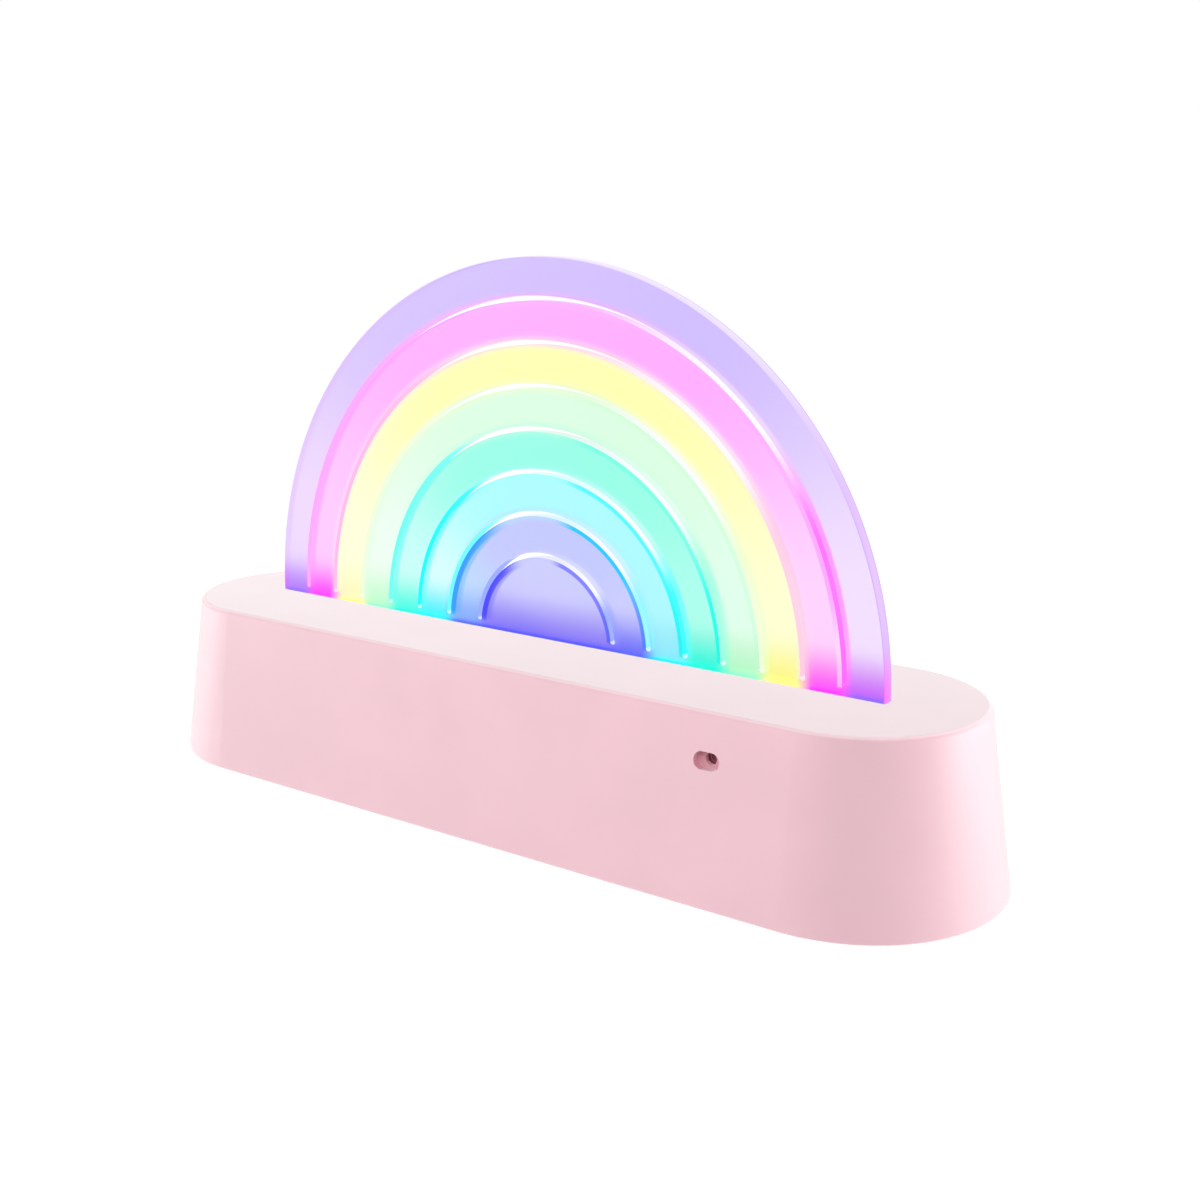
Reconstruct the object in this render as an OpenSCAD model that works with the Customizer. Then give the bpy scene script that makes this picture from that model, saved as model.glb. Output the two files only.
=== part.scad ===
// Rainbow lamp: a clear half-disc light guide with curved slots, standing in a
// moulded base that holds its light board, control board and three AA cells.
// Millimetres, +Z up, +X along the base, -Y the front. The origin is on the table
// under the middle of the base.

/* [Base housing] */
// Height of the moulded base
base_h = 45.8; // [44:0.2:52]
// How far the base's bottom edge reaches past the rainbow at each end
end_reach = 29.7; // [28:0.1:36]
// Radius of the base's round ends at the bottom edge
end_r_bottom = 37; // [36:0.5:40]
// Radius of the base's round ends at the top edge
end_r_top = 30.5; // [30:0.5:33]
// Side wall thickness
wall = 2.2; // [1.8:0.1:2.4]
// Top wall thickness
top_wall = 2.5; // [2:0.1:3]
// Rounding of the top edge
top_edge_r = 1.3; // [0.8:0.1:2]
// Rounding of the bottom edge
low_edge_r = 0.6; // [0.3:0.1:1]

/* [Bottom cover] */
// Thickness of the bottom cover
cover_t = 2.6; // [2.4:0.1:3]
// Gap between the cover's edge and the side wall
cover_gap = 0.25; // [0.2:0.05:0.4]
// Height of the locating rim on the cover
rim_h = 1.5; // [1:0.1:2]
// Thickness of the locating rim and of the cover's ribs
rim_t = 1.2; // [1:0.1:1.6]
// Diameter of a rubber foot
foot_d = 10; // [8:0.5:11]
// Thickness of a rubber foot
foot_t = 2.2; // [2:0.1:3]
// Depth of the pocket that a foot is glued into
foot_sink = 1.2; // [1:0.1:1.4]

/* [Rainbow plate] */
// Outer radius of the rainbow
rainbow_r = 100; // [96:1:103]
// Thickness of the clear plate
plate_t = 3.5; // [3:0.1:4]
// Radius of the innermost half disc
inner_r = 22; // [18:1:26]
// Number of colour bands round the half disc
bands = 7; // [5:1:7]
// Width of the curved slots between the bands
slot_w = 1.3; // [0.8:0.1:1.6]
// Height of the slot ends above the base top
slot_end_z = 1.9; // [1.6:0.1:3]
// How much wider than the slot the round tip at each of its ends is
slot_flare = 0.2; // [0.1:0.05:0.4]
// Depth of the plate's foot below the base top
tongue_deep = 12; // [10:0.5:13]
// How far the foot's shoulders reach past the rainbow at each side
shoulder = 3.5; // [2:0.5:5]
// Gap round the plate where it passes the top wall and sits in its holder
plate_gap = 0.15; // [0.1:0.05:0.3]

/* [Plate holder and light board] */
// Wall of the holder on each side of the plate
holder_wall = 4.2; // [3.5:0.1:5]
// Length of the solid block at each end of the holder
holder_end = 9; // [8:0.5:10]
// Height of the light wells between the board and the plate
well_h = 3.5; // [3:0.1:4.5]
// Length of a light well along the plate
well_l = 7.4; // [6:0.2:8]
// Width of a light well across the plate
well_w = 5.4; // [4:0.2:6]
// Thickness of the circuit boards
board_t = 1.6; // [1:0.1:2]
// Free space between the holder's screw ears and the control board's bosses
ear_space = 5.4; // [3:0.1:8]
// Thickness of a screw ear
ear_t = 2.5; // [2:0.1:3]

/* [Battery bay] */
// Diameter of an AA cell
cell_d = 14.5; // [14:0.1:14.5]
// Length of an AA cell, over its contact
cell_l = 50.5; // [49.5:0.1:50.5]
// Space between neighbouring cells
cell_space = 0.7; // [0.5:0.1:1]
// Length of a compressed contact spring
spring_l = 5; // [4.6:0.1:6]
// Wire diameter of a contact spring
spring_wire = 0.7; // [0.5:0.1:0.7]
// Thickness of a contact plate
contact_t = 0.5; // [0.3:0.1:0.6]
// Wall of the battery bay
bay_wall = 1.6; // [1.4:0.1:2]
// Free space between the battery bay and the middle screw bosses
bay_space = 2.65; // [2:0.05:4]
// Thickness of the battery door
door_t = 1.6; // [1.4:0.1:1.6]
// Gap round the battery door
door_gap = 0.3; // [0.25:0.05:0.4]
// Width of the ledge that the door closes against
door_ledge = 1.6; // [1.4:0.1:2]

/* [Controls and port] */
// Height of the port panel's lower edge above the cover's rim
panel_lift = 2.4; // [2:0.1:3]
// Width of the port panel
panel_w = 42; // [40:1:44]
// Height of the port panel
panel_h = 12; // [11:0.5:13]
// Middle of the port panel along X
panel_x = 38; // [36:1:40]
// Wall left behind the port panel
panel_wall = 1.8; // [1.5:0.1:2]
// Travel of the mode switch to each side of its middle place
switch_travel = 2; // [1.5:0.1:2.5]
// Length of the control board
ctrl_l = 60; // [58:1:62]
// Free space between the plate holder and the control board's front bosses
ctrl_space = 2.3; // [1.5:0.1:4]

/* [Sound port] */
// Place of the sound port along X
mic_x = 70.6; // [64:0.2:74]
// Height of the sound port above the base's lower edge
mic_z = 34.5; // [32:0.5:35]
// Length of the sound port's recess
mic_slot_l = 7; // [6:0.2:9]
// Height of the sound port's recess
mic_slot_h = 4.3; // [4:0.1:5]
// Depth of the sound port's recess
mic_slot_deep = 2.2; // [1.5:0.1:2.6]
// Diameter of the sound hole
mic_hole_d = 3.1; // [2:0.1:3.4]
// Diameter of the microphone capsule
mic_d = 6; // [5.6:0.1:6.2]

/* [Fasteners and leads] */
// Head diameter of a housing screw
screw_head_d = 5; // [4.6:0.1:5.2]
// Head height of a housing screw
screw_head_h = 1.6; // [1.4:0.1:1.7]
// Shank diameter of a housing screw
screw_d = 2.5; // [2.2:0.1:2.6]
// Length of a housing screw below its head
screw_l = 8; // [7:0.5:10]
// Head diameter of a board screw
small_head_d = 3.6; // [3.4:0.1:4]
// Head height of a board screw
small_head_h = 1.2; // [1:0.1:1.4]
// Shank diameter of a board screw
small_d = 1.9; // [1.6:0.1:2]
// Length of a board screw below its head
small_l = 6; // [5:0.5:6.5]
// Wall of a screw boss
boss_wall = 2.1; // [1.8:0.1:2.4]
// Diameter of a connecting lead
lead_d = 1.3; // [1:0.1:1.5]

/* [Hidden] */
$fn = 96;
small_fn = 32;
eps = 0.01;

// Small working gaps
seat_gap = 0.05;
part_gap = 0.2;
pilot_gap = 0.05;

// Heights, from the table up
foot_proud = foot_t - foot_sink;
z_base = foot_proud;
z_cover = z_base + cover_t;
z_top = z_base + base_h;
z_ceiling = z_top - top_wall;
z_tongue = z_top - tongue_deep;
z_led_board = z_tongue - well_h;
z_cell = z_cover + part_gap + cell_d / 2;
z_bay_top = z_cell + cell_d / 2 + part_gap + bay_wall;
z_panel = z_cover + rim_h + panel_lift + panel_h / 2;
z_mic = z_base + mic_z;

// Half of the base's straight part, along X
straight_half = rainbow_r + end_reach - end_r_bottom;

// The drafted side: its half width at a height, and how a wall measures on the level
draft = atan((end_r_bottom - end_r_top) / base_h);
function out_r(z) = end_r_bottom - (end_r_bottom - end_r_top) * (z - z_base) / base_h;
function in_r(z) = out_r(z) - wall / cos(draft);

// Screw bosses
boss_r = screw_d / 2 + pilot_gap + boss_wall;
small_boss_r = small_d / 2 + pilot_gap + boss_wall;
boss_side_gap = 0.8;
corner_boss_in = 4.2;
corner_boss_back = 8.7;
corner_boss_x = straight_half - corner_boss_back;
middle_boss_y = in_r(z_ceiling) - boss_r - boss_side_gap;
corner_boss_y = middle_boss_y - corner_boss_in;
cover_boss_at = [
    [-corner_boss_x, -corner_boss_y], [corner_boss_x, -corner_boss_y],
    [-corner_boss_x, corner_boss_y], [corner_boss_x, corner_boss_y],
    [0, -middle_boss_y], [0, middle_boss_y]
];
cover_rib_h = 3;
cover_rib_step = 7;
boss_rib_rise = 6;

// Rubber feet, near the base's four corners
foot_at = [for (sx = [-1, 1], sy = [-1, 1]) [sx * (straight_half + 5.3), sy * (end_r_top - 13.5)]];
foot_step = foot_d / 25;

// Plate, holder and lights
ctrl_boss_in = 8.5;
pitch = (rainbow_r - inner_r) / bands;
tongue_half = rainbow_r + shoulder;
holder_half = tongue_half + holder_end;
holder_y = plate_t / 2 + plate_gap + holder_wall;
ear_r = screw_head_d / 2 + 1.5;
ear_x = panel_x + ctrl_l / 2 - ctrl_boss_in + small_boss_r + ear_space + ear_r;
ear_y = holder_y + ear_r;
ear_drop = 6.3;
ear_low = z_ceiling - ear_drop;
ear_at = [for (sx = [-1, 1], sy = [-1, 1]) [sx * ear_x, sy * ear_y]];
led_w = 3.5;
led_deep = 2.8;
led_h = 1.9;
led_dome_d = 2.4;
led_dome_deep = 0.4;
band_mid = [for (k = [0 : bands - 1]) inner_r + k * pitch + (pitch + slot_w) / 2];
led_x = concat([0], [for (x = band_mid) x], [for (x = band_mid) -x]);
led_board_end = 1;
led_board_side = 0.6;
led_board_half = holder_half - led_board_end;
led_board_y = holder_y - led_board_side;
z_led_under = z_led_board - board_t;
led_screw_end = tongue_half + holder_end / 2;
led_screw_mid = (led_w + well_l) / 2 + small_head_d + 5;
led_screw_x = [-led_screw_end, -led_screw_mid, led_screw_mid, led_screw_end];

// Battery bay: three cells lie along X, and the door hangs from the -X edge
cells = 3;
cell_pitch = cell_d + cell_space;
bay_l = cell_l + spring_l + 2 * contact_t + part_gap;
bay_w = cells * cell_pitch;
bay_high_x = -boss_r - bay_space - bay_wall;
bay_low_x = bay_high_x - bay_l;
bay_x = (bay_low_x + bay_high_x) / 2;
bay_half_y = bay_w / 2 + bay_wall;
nub_d = 5.5;
nub_h = 1.2;
body_l = cell_l - nub_h;
door_low_x = bay_low_x + door_gap;
hinge_x = door_low_x + door_t / 2;
hinge_z = z_base + door_t / 2;
z_door = z_base + door_t;
door_high_x = bay_high_x + door_ledge;
door_half_y = bay_w / 2 + door_ledge;
lug_r = screw_head_d / 2 + 2;
lug_x = door_high_x + lug_r - 1;
lug_t = cover_t - 0.1;
door_screw_gap = 0.45;
door_boss_h = 5;
door_screw_l = cover_t + 3;
tab_w = 8;
tab_y = cell_pitch;
tab_reach = 3.2;
tab_t = 1.4;
tab_z = z_cover + part_gap;
tab_sweep_r = norm([tab_reach, tab_z + tab_t - hinge_z]);
neck_w = 1.6;
door_rib_h = 2.8;
door_rib_t = 1;
groove_r = 0.5;
groove_l = 18;
groove_pitch = 1.9;
grooves = 5;

// Contacts: -1 is the end at low X. A spring meets each cell's flat end
flat_end = [for (k = [0 : cells - 1]) k % 2 == 0 ? -1 : 1];
cell_y = [for (k = [0 : cells - 1]) (k - (cells - 1) / 2) * cell_pitch];
contact_h = 8.2;
contact_w = 10;
tag_w = 3;
tag_rise = 2.4;
spring_turns = 3;
spring_sides = 6;
spring_steps = 8;
spring_foot_r = 3.6;
spring_tip_r = 2.4;

// Port panel and the parts behind it
panel_y = out_r(z_panel + panel_h / 2) - 0.5;
panel_back = panel_y - panel_wall;
panel_corner = 3;
usb_x = panel_x - 11;
switch_x = panel_x + 10;
usb_wall = 0.3;
usb_tongue_w = 6.4;
usb_tongue_t = 0.7;
usb_w = 8.94;
usb_h = 3.26;
usb_l = 7.35;
z_ctrl = z_panel - usb_h / 2;
knob_w = 4;
knob_h = 2;
knob_out = 1.4;
knob_gap = 0.3;
switch_l = 12.7;
switch_deep = 4.4;
switch_h = 2 * (z_panel - z_ctrl);
switch_y = panel_back - 0.2;
ctrl_low_x = panel_x - ctrl_l / 2;
ctrl_high_x = panel_x + ctrl_l / 2;
ctrl_boss_y = -holder_y - ctrl_space - small_boss_r;
ctrl_back = panel_back - 0.6;
ctrl_front = ctrl_boss_y - 4;
ctrl_boss_at = [
    for (x = [ctrl_low_x + 5.5, ctrl_high_x - ctrl_boss_in], y = [ctrl_boss_y, ctrl_back - 8]) [x, y]
];

// Sound port
mic_floor_y = -out_r(z_mic) + mic_slot_deep;
mic_floor_t = 1.2;
mic_back_y = mic_floor_y + mic_floor_t;
boot_r = mic_d / 2 + 1;
boot_l = 4.2;
boot_front = 0.8;
capsule_l = 2.7;
mic_socket_r = boot_r + 0.1 + 1.5;

// Parts on the control board, placed from its front edge
header_h = 6;
header_l = 8;
header_w = 5.2;
plug_l = 6.6;
plug_w = 4;
plug_lip = 1.4;
z_header = z_ctrl + header_h;
power_header = [ctrl_boss_at[0].x + small_boss_r + header_l / 2 + 3.4, ctrl_front + 9.5];
led_header = [panel_x - 2, ctrl_front + 6.5];
mic_header = [ctrl_boss_at[2].x - small_boss_r - header_l / 2 - 2.4, ctrl_front + 5.5];
chip = [10, 4, 1.5];
chip_at = [panel_x, ctrl_front + 21.5];
leg_pitch = 1.27;
leg_w = 0.4;
leg_t = 0.25;
can_at = [for (x = [panel_x - 18, panel_x - 10]) [x, ctrl_front + 25.5]];
can_r = 3.15;
can_h = 7.4;
can_foot = 6.8;
resistor = [2, 1.2, 0.5];
resistor_low = [panel_x - 5, ctrl_front + 27.5];
resistor_step = [3, 4];

// Lead routes: where each lead starts, the points between, and where it ends.
// The leads cross the free space between the battery bay and the light board.
wire_step = 1.5;
z_lead = (z_bay_top + z_led_under) / 2;
z_drop = z_header + 2.2;
z_tag = z_bay_top + tag_rise;
tag_plus = [bay_high_x - contact_t / 2, cell_y[0], z_tag];
tag_minus = [bay_low_x + contact_t / 2, cell_y[cells - 1], z_tag];
red_route = [
    tag_plus, [tag_plus.x, tag_plus.y, z_tag + 1], [-5, -14, z_lead + 0.4], [3, -10, z_lead + 0.8],
    [12, -6, z_lead], [power_header.x - wire_step - 3, power_header.y, z_lead - 1.5],
    [power_header.x - wire_step, power_header.y, z_drop],
    [power_header.x - wire_step, power_header.y, z_header]
];
black_route = [
    tag_minus, [tag_minus.x, tag_minus.y, z_tag + 1], [-58, 14, z_lead + 0.4], [-44, 11, z_lead],
    [-28, 9, z_lead], [-12, 8, z_lead + 0.4], [4, 5, z_lead + 0.4], [18, -1, z_lead],
    [power_header.x + wire_step, power_header.y, z_drop],
    [power_header.x + wire_step, power_header.y, z_header]
];
led_route = [
    [led_header.x, 1, z_led_under], [led_header.x, 1, z_led_under - 2], [led_header.x, -3, z_lead],
    [led_header.x, led_header.y + 1, z_drop + 2], [led_header.x, led_header.y, z_drop],
    [led_header.x, led_header.y, z_header]
];
mic_lead_y = mic_back_y + boot_front + capsule_l;
mic_pass_y = ctrl_boss_y - small_boss_r - 3;
mic_route = [
    [mic_x, mic_lead_y, z_mic], [mic_x, mic_lead_y + 3, z_mic],
    [mic_x - 2.6, mic_pass_y - 2, z_mic - 2.5], [mic_x - 8.6, mic_pass_y - 1, z_mic - 6.5],
    [mic_x - 15.6, mic_pass_y + 0.6, z_mic - 10.5],
    [mic_header.x, mic_header.y - 1, z_drop + 1.5], [mic_header.x, mic_header.y, z_drop],
    [mic_header.x, mic_header.y, z_header]
];

// Half of the base's drafted section, set in from the outer face by a level amount.
// Its two outer corners are rounded where a radius is given.
module drafted_half(inset, z_low, z_high, low_r, high_r) {
    low_c = [out_r(z_low + low_r) - inset - low_r / cos(draft), z_low + low_r];
    high_c = [out_r(z_high - high_r) - inset - high_r / cos(draft), z_high - high_r];
    side = [cos(draft), sin(draft)];
    polygon([
        [0, z_low], [low_c.x, z_low], low_c + low_r * side,
        high_c + high_r * side, [high_c.x, z_high], [0, z_high]
    ]);
    if (low_r > 0) translate(low_c) circle(r = low_r, $fn = small_fn);
    if (high_r > 0) translate(high_c) circle(r = high_r, $fn = small_fn);
}

// The whole drafted form: the section drawn along the straight and turned at the ends
module stadium(inset, z_low, z_high, low_r = 0, high_r = 0) {
    for (side = [0, 1]) mirror([side, 0, 0]) translate([straight_half, 0, 0])
        rotate([0, 0, -90]) rotate_extrude(angle = 180)
            drafted_half(inset, z_low, z_high, low_r, high_r);
    rotate([90, 0, 90]) linear_extrude(2 * straight_half, center = true) {
        drafted_half(inset, z_low, z_high, low_r, high_r);
        mirror([1, 0]) drafted_half(inset, z_low, z_high, low_r, high_r);
    }
}

// A round upright post or hole
module post(at, z_low, z_high, r) {
    translate([at.x, at.y, z_low]) cylinder(h = z_high - z_low, r = r, $fn = small_fn);
}

// A box from its low corner to its high corner
module block(low, high) {
    translate(low) cube(high - low);
}

// A bar with round ends along X, drawn through a wall along Y
module round_bar(x, z, length, height, y_low, y_high) {
    straight = length - height;
    block([x - straight / 2, y_low, z - height / 2], [x + straight / 2, y_high, z + height / 2]);
    for (side = [-1, 1]) translate([x + side * straight / 2, y_low, z]) rotate([-90, 0, 0])
        cylinder(h = y_high - y_low, d = height, $fn = small_fn);
}

// A panel with round corners, drawn along Y
module round_panel(x, z, w, h, r, y_low, y_high) {
    block([x - w / 2 + r, y_low, z - h / 2], [x + w / 2 - r, y_high, z + h / 2]);
    block([x - w / 2, y_low, z - h / 2 + r], [x + w / 2, y_high, z + h / 2 - r]);
    for (sx = [-1, 1], sz = [-1, 1])
        translate([x + sx * (w / 2 - r), y_low, z + sz * (h / 2 - r)]) rotate([-90, 0, 0])
            cylinder(h = y_high - y_low, r = r, $fn = small_fn);
}

// A screw that points up, with its head under the seat and a cross in the head
module screw(at, z_seat, head_d, head_h, d, length) {
    cross_l = head_d * 0.55;
    cross_w = head_d * 0.14;
    difference() {
        union() {
            post(at, z_seat - head_h, z_seat, head_d / 2);
            post(at, z_seat, z_seat + length, d / 2);
        }
        for (turn = [0, 90]) translate([at.x, at.y, z_seat - head_h]) rotate([0, 0, turn])
            cube([cross_l, cross_w, head_h], center = true);
    }
}

module base_shell() {
    color([0.93, 0.79, 0.82]) difference() {
        union() {
            difference() {
                stadium(0, z_base, z_top, low_edge_r, top_edge_r);
                stadium(wall / cos(draft), z_base - 1, z_ceiling, 0, 1);
            }
            for (at = cover_boss_at) post(at, z_cover, z_ceiling + eps, boss_r);
            for (at = ctrl_boss_at) post(at, z_ctrl, z_ceiling + eps, small_boss_r);
            for (at = ear_at) post(at, ear_low + ear_t, z_ceiling + eps, ear_r - 0.5);
            intersection() {
                stadium(wall / 2, z_base, z_top);
                union() {
                    boss_ribs();
                    port_pad();
                    mic_socket();
                }
            }
        }
        for (at = cover_boss_at) post(at, z_base, z_cover + screw_l + 1, screw_d / 2 + pilot_gap);
        for (at = ctrl_boss_at) post(at, z_base, z_ctrl + small_l, small_d / 2 + pilot_gap);
        for (at = ear_at) post(at, z_base, ear_low + ear_t + 3.2, screw_d / 2 + pilot_gap);
        block(
            [-rainbow_r - plate_gap, -plate_t / 2 - plate_gap, z_ceiling - 1],
            [rainbow_r + plate_gap, plate_t / 2 + plate_gap, z_top + 1]
        );
        port_cuts();
        mic_cuts();
    }
}

// Upright ribs that tie the cover's bosses to the side wall
module boss_ribs() {
    for (at = cover_boss_at) {
        tip = sign(at.y) * end_r_bottom;
        block(
            [at.x - rim_t / 2, min(at.y, tip), z_cover + boss_rib_rise],
            [at.x + rim_t / 2, max(at.y, tip), z_ceiling + eps]
        );
    }
}

// Thickened wall behind the port panel
module port_pad() {
    block(
        [panel_x - panel_w / 2 - 2, panel_back, z_panel - panel_h / 2 - 1.2],
        [panel_x + panel_w / 2 + 2, end_r_bottom, z_panel + panel_h / 2 + 2]
    );
}

// Round socket that the microphone's boot is pushed into from inside
module mic_socket() {
    translate([mic_x, mic_back_y + boot_l, z_mic]) rotate([90, 0, 0])
        cylinder(h = boot_l + end_r_bottom, r = mic_socket_r, $fn = small_fn * 2);
}

module port_cuts() {
    round_panel(panel_x, z_panel, panel_w, panel_h, panel_corner, panel_y, end_r_bottom + 1);
    round_bar(usb_x, z_panel, usb_w + 2 * part_gap, usb_h + 2 * part_gap, panel_back - 1, panel_y + 1);
    block(
        [switch_x - knob_w / 2 - switch_travel - knob_gap, panel_back - 1, z_panel - knob_h / 2 - knob_gap],
        [switch_x + knob_w / 2 + switch_travel + knob_gap, panel_y + 1, z_panel + knob_h / 2 + knob_gap]
    );
}

module mic_cuts() {
    round_bar(mic_x, z_mic, mic_slot_l, mic_slot_h, -end_r_bottom - 1, mic_floor_y);
    translate([mic_x, mic_floor_y - 1, z_mic]) rotate([-90, 0, 0])
        cylinder(h = mic_floor_t + 2, d = mic_hole_d, $fn = small_fn * 2);
    translate([mic_x, mic_back_y, z_mic]) rotate([-90, 0, 0])
        cylinder(h = boot_l + 2, r = boot_r + 0.1, $fn = small_fn * 2);
}

module bottom_cover() {
    color([0.91, 0.77, 0.80]) difference() {
        union() {
            stadium(wall / cos(draft) + cover_gap, z_base, z_cover);
            cover_rim();
            bay_body();
            post([lug_x, 0], z_cover - eps, z_cover + door_boss_h, lug_r + door_gap + 1.2);
            for (x = [-corner_boss_x, corner_boss_x], step = cover_rib_step * [-1, 1]) block(
                [x + step - rim_t / 2, -corner_boss_y, z_cover - eps],
                [x + step + rim_t / 2, corner_boss_y, z_cover + cover_rib_h]
            );
        }
        for (at = cover_boss_at) {
            post(at, z_base - 1, z_base + screw_head_h + 0.1, screw_head_d / 2 + 0.2);
            post(at, z_base, z_cover + 1, screw_d / 2 + 0.2);
        }
        for (at = foot_at) post(at, z_base - 1, z_base + foot_sink, foot_d / 2 + part_gap);
        door_recess();
        bay_cuts();
    }
}

// Low rim that centres the cover inside the shell, with room for the corner bosses
module cover_rim() {
    difference() {
        stadium(wall / cos(draft) + cover_gap + 0.15, z_cover - eps, z_cover + rim_h);
        stadium(wall / cos(draft) + cover_gap + 0.15 + rim_t, z_cover - 1, z_cover + rim_h + 1);
        for (at = cover_boss_at) post(at, z_cover - 1, z_cover + rim_h + 1, boss_r + 0.3);
    }
}

module bay_body() {
    block(
        [bay_low_x - bay_wall, -bay_half_y, z_cover - eps],
        [bay_high_x + bay_wall, bay_half_y, z_bay_top]
    );
}

// Recess that the battery door closes into, with the open end for its screw lug
module door_recess() {
    block(
        [door_low_x - door_gap, -door_half_y - door_gap, z_base - 1],
        [door_high_x + door_gap, door_half_y + door_gap, z_door + seat_gap]
    );
    post([lug_x, 0], z_base - 1, z_cover, lug_r + door_gap);
    block([door_high_x - 1, -lug_r - door_gap, z_base - 1], [lug_x, lug_r + door_gap, z_cover]);
    post([lug_x, 0], z_base, z_cover + door_boss_h + 1, screw_d / 2 + door_screw_gap);
}

// Troughs for the cells, their opening, the contact slots and the door's tab windows
module bay_cuts() {
    block([bay_low_x, -bay_w / 2, z_base - 1], [bay_high_x, bay_w / 2, z_cell]);
    for (y = cell_y) translate([bay_low_x, y, z_cell]) rotate([0, 90, 0])
        cylinder(h = bay_l, d = cell_d + 2 * part_gap);
    for (end = [-1, 1], span = contact_spans(end)) contact_slot(end, span);
    for (side = [-1, 1]) block(
        [bay_low_x - bay_wall - 1, side * tab_y - tab_w / 2 - 0.3, z_cover],
        [bay_low_x + 1, side * tab_y + tab_w / 2 + 0.3, hinge_z + tab_sweep_r + door_gap]
    );
}

// The stretches along Y that one contact plate serves at an end: alone or as a bridge
function contact_spans(end) = end < 0
    ? [[cell_y[0], cell_y[1]], [cell_y[2], cell_y[2]]]
    : [[cell_y[0], cell_y[0]], [cell_y[1], cell_y[2]]];

// Where a contact plate's tag passes the bay's roof, and its pocket in the end wall
module contact_slot(end, span) {
    x = end < 0 ? bay_low_x : bay_high_x - contact_t - part_gap;
    y_tag = end < 0 ? span[1] : span[0];
    block(
        [x, y_tag - tag_w / 2 - part_gap, z_cell],
        [x + contact_t + part_gap, y_tag + tag_w / 2 + part_gap, z_bay_top + 1]
    );
    block(
        [x, span[0] - contact_w / 2 - part_gap, z_cell - contact_h / 2],
        [x + contact_t + part_gap, span[1] + contact_w / 2 + part_gap, z_cell + contact_h / 2 + part_gap]
    );
}

module contact_plates() {
    color([0.80, 0.80, 0.78]) for (end = [-1, 1], span = contact_spans(end)) {
        x = end < 0 ? bay_low_x : bay_high_x - contact_t;
        y_tag = end < 0 ? span[1] : span[0];
        block(
            [x, span[0] - contact_w / 2, z_cell - contact_h / 2],
            [x + contact_t, span[1] + contact_w / 2, z_cell + contact_h / 2]
        );
        block([x, y_tag - tag_w / 2, z_cell], [x + contact_t, y_tag + tag_w / 2, z_tag]);
    }
}

module battery_door() {
    color([0.91, 0.77, 0.80]) difference() {
        union() {
            block([hinge_x, -door_half_y, z_base], [door_high_x, door_half_y, z_door]);
            translate([hinge_x, 0, hinge_z]) rotate([90, 0, 0])
                cylinder(h = 2 * door_half_y, d = door_t, center = true, $fn = small_fn);
            door_lug();
            for (side = [-1, 1]) {
                door_tab(side * tab_y);
                block(
                    [bay_low_x + 6, side * cell_pitch / 2 - door_rib_t / 2, z_door - eps],
                    [bay_high_x - 6, side * cell_pitch / 2 + door_rib_t / 2, z_door + door_rib_h]
                );
                block(
                    [bay_x + side * cell_l / 4 - door_rib_t / 2, -bay_w / 2 + 2, z_door - eps],
                    [bay_x + side * cell_l / 4 + door_rib_t / 2, bay_w / 2 - 2, z_cover]
                );
            }
        }
        post([lug_x, 0], z_base - 1, z_base + screw_head_h, screw_head_d / 2 + part_gap);
        post([lug_x, 0], z_base, z_cover + 1, screw_d / 2 + part_gap);
        for (k = [0 : grooves - 1]) round_groove(bay_high_x - 3.5 - groove_pitch * k);
    }
}

// Screw lug at the door's free edge
module door_lug() {
    post([lug_x, 0], z_base, z_base + lug_t, lug_r);
    block([door_high_x - 1, -lug_r, z_base], [lug_x, lug_r, z_door]);
}

// Hooked tab that turns inside the cover's edge
module door_tab(y) {
    neck_x = door_low_x + neck_w;
    block([door_low_x, y - tab_w / 2, hinge_z], [neck_x, y + tab_w / 2, tab_z + tab_t]);
    block([hinge_x - tab_reach, y - tab_w / 2, tab_z], [neck_x, y + tab_w / 2, tab_z + tab_t]);
}

// Shallow finger groove across the door's underside
module round_groove(x) {
    translate([x, 0, z_base]) rotate([90, 0, 0])
        cylinder(h = groove_l, r = groove_r, center = true, $fn = small_fn);
}

module door_screw() {
    color("silver") screw(
        [lug_x, 0], z_base + screw_head_h, screw_head_d, screw_head_h - 0.2, screw_d, door_screw_l
    );
}

module rubber_feet() {
    color([0.25, 0.25, 0.26]) for (at = foot_at) {
        post(at, foot_step, z_base + foot_sink, foot_d / 2);
        post(at, 0, foot_step + eps, foot_d / 2 - foot_step);
    }
}

module cover_screws() {
    color("silver") for (at = cover_boss_at)
        screw(at, z_base + screw_head_h + 0.1, screw_head_d, screw_head_h, screw_d, screw_l);
}

// Outline of the plate: half disc, foot in the top wall, shoulders under it.
// Drawn from the base top upwards, with Y of the sketch standing for height.
module plate_outline() {
    intersection() {
        circle(r = rainbow_r, $fn = 360);
        translate([-rainbow_r, 0]) square([2 * rainbow_r, rainbow_r]);
    }
    translate([-rainbow_r, -top_wall - 0.5]) square([2 * rainbow_r, top_wall + 0.5]);
    translate([-tongue_half, -tongue_deep]) square([2 * tongue_half, tongue_deep - top_wall - 0.3]);
}

// One curved slot that parts two bands, with a slightly wider round tip at each foot
module arc_slot(r) {
    mid = r + slot_w / 2;
    tip_r = (slot_w + slot_flare) / 2;
    foot = asin((slot_end_z + tip_r) / mid);
    reach = 2 * rainbow_r;
    difference() {
        intersection() {
            circle(r = r + slot_w, $fn = 240);
            polygon([
                [0, 0], reach * [cos(foot), sin(foot)], [reach, reach],
                [-reach, reach], reach * [-cos(foot), sin(foot)]
            ]);
        }
        circle(r = r, $fn = 240);
    }
    for (side = [-1, 1])
        translate(mid * [side * cos(foot), sin(foot)]) circle(r = tip_r, $fn = small_fn);
}

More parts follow.
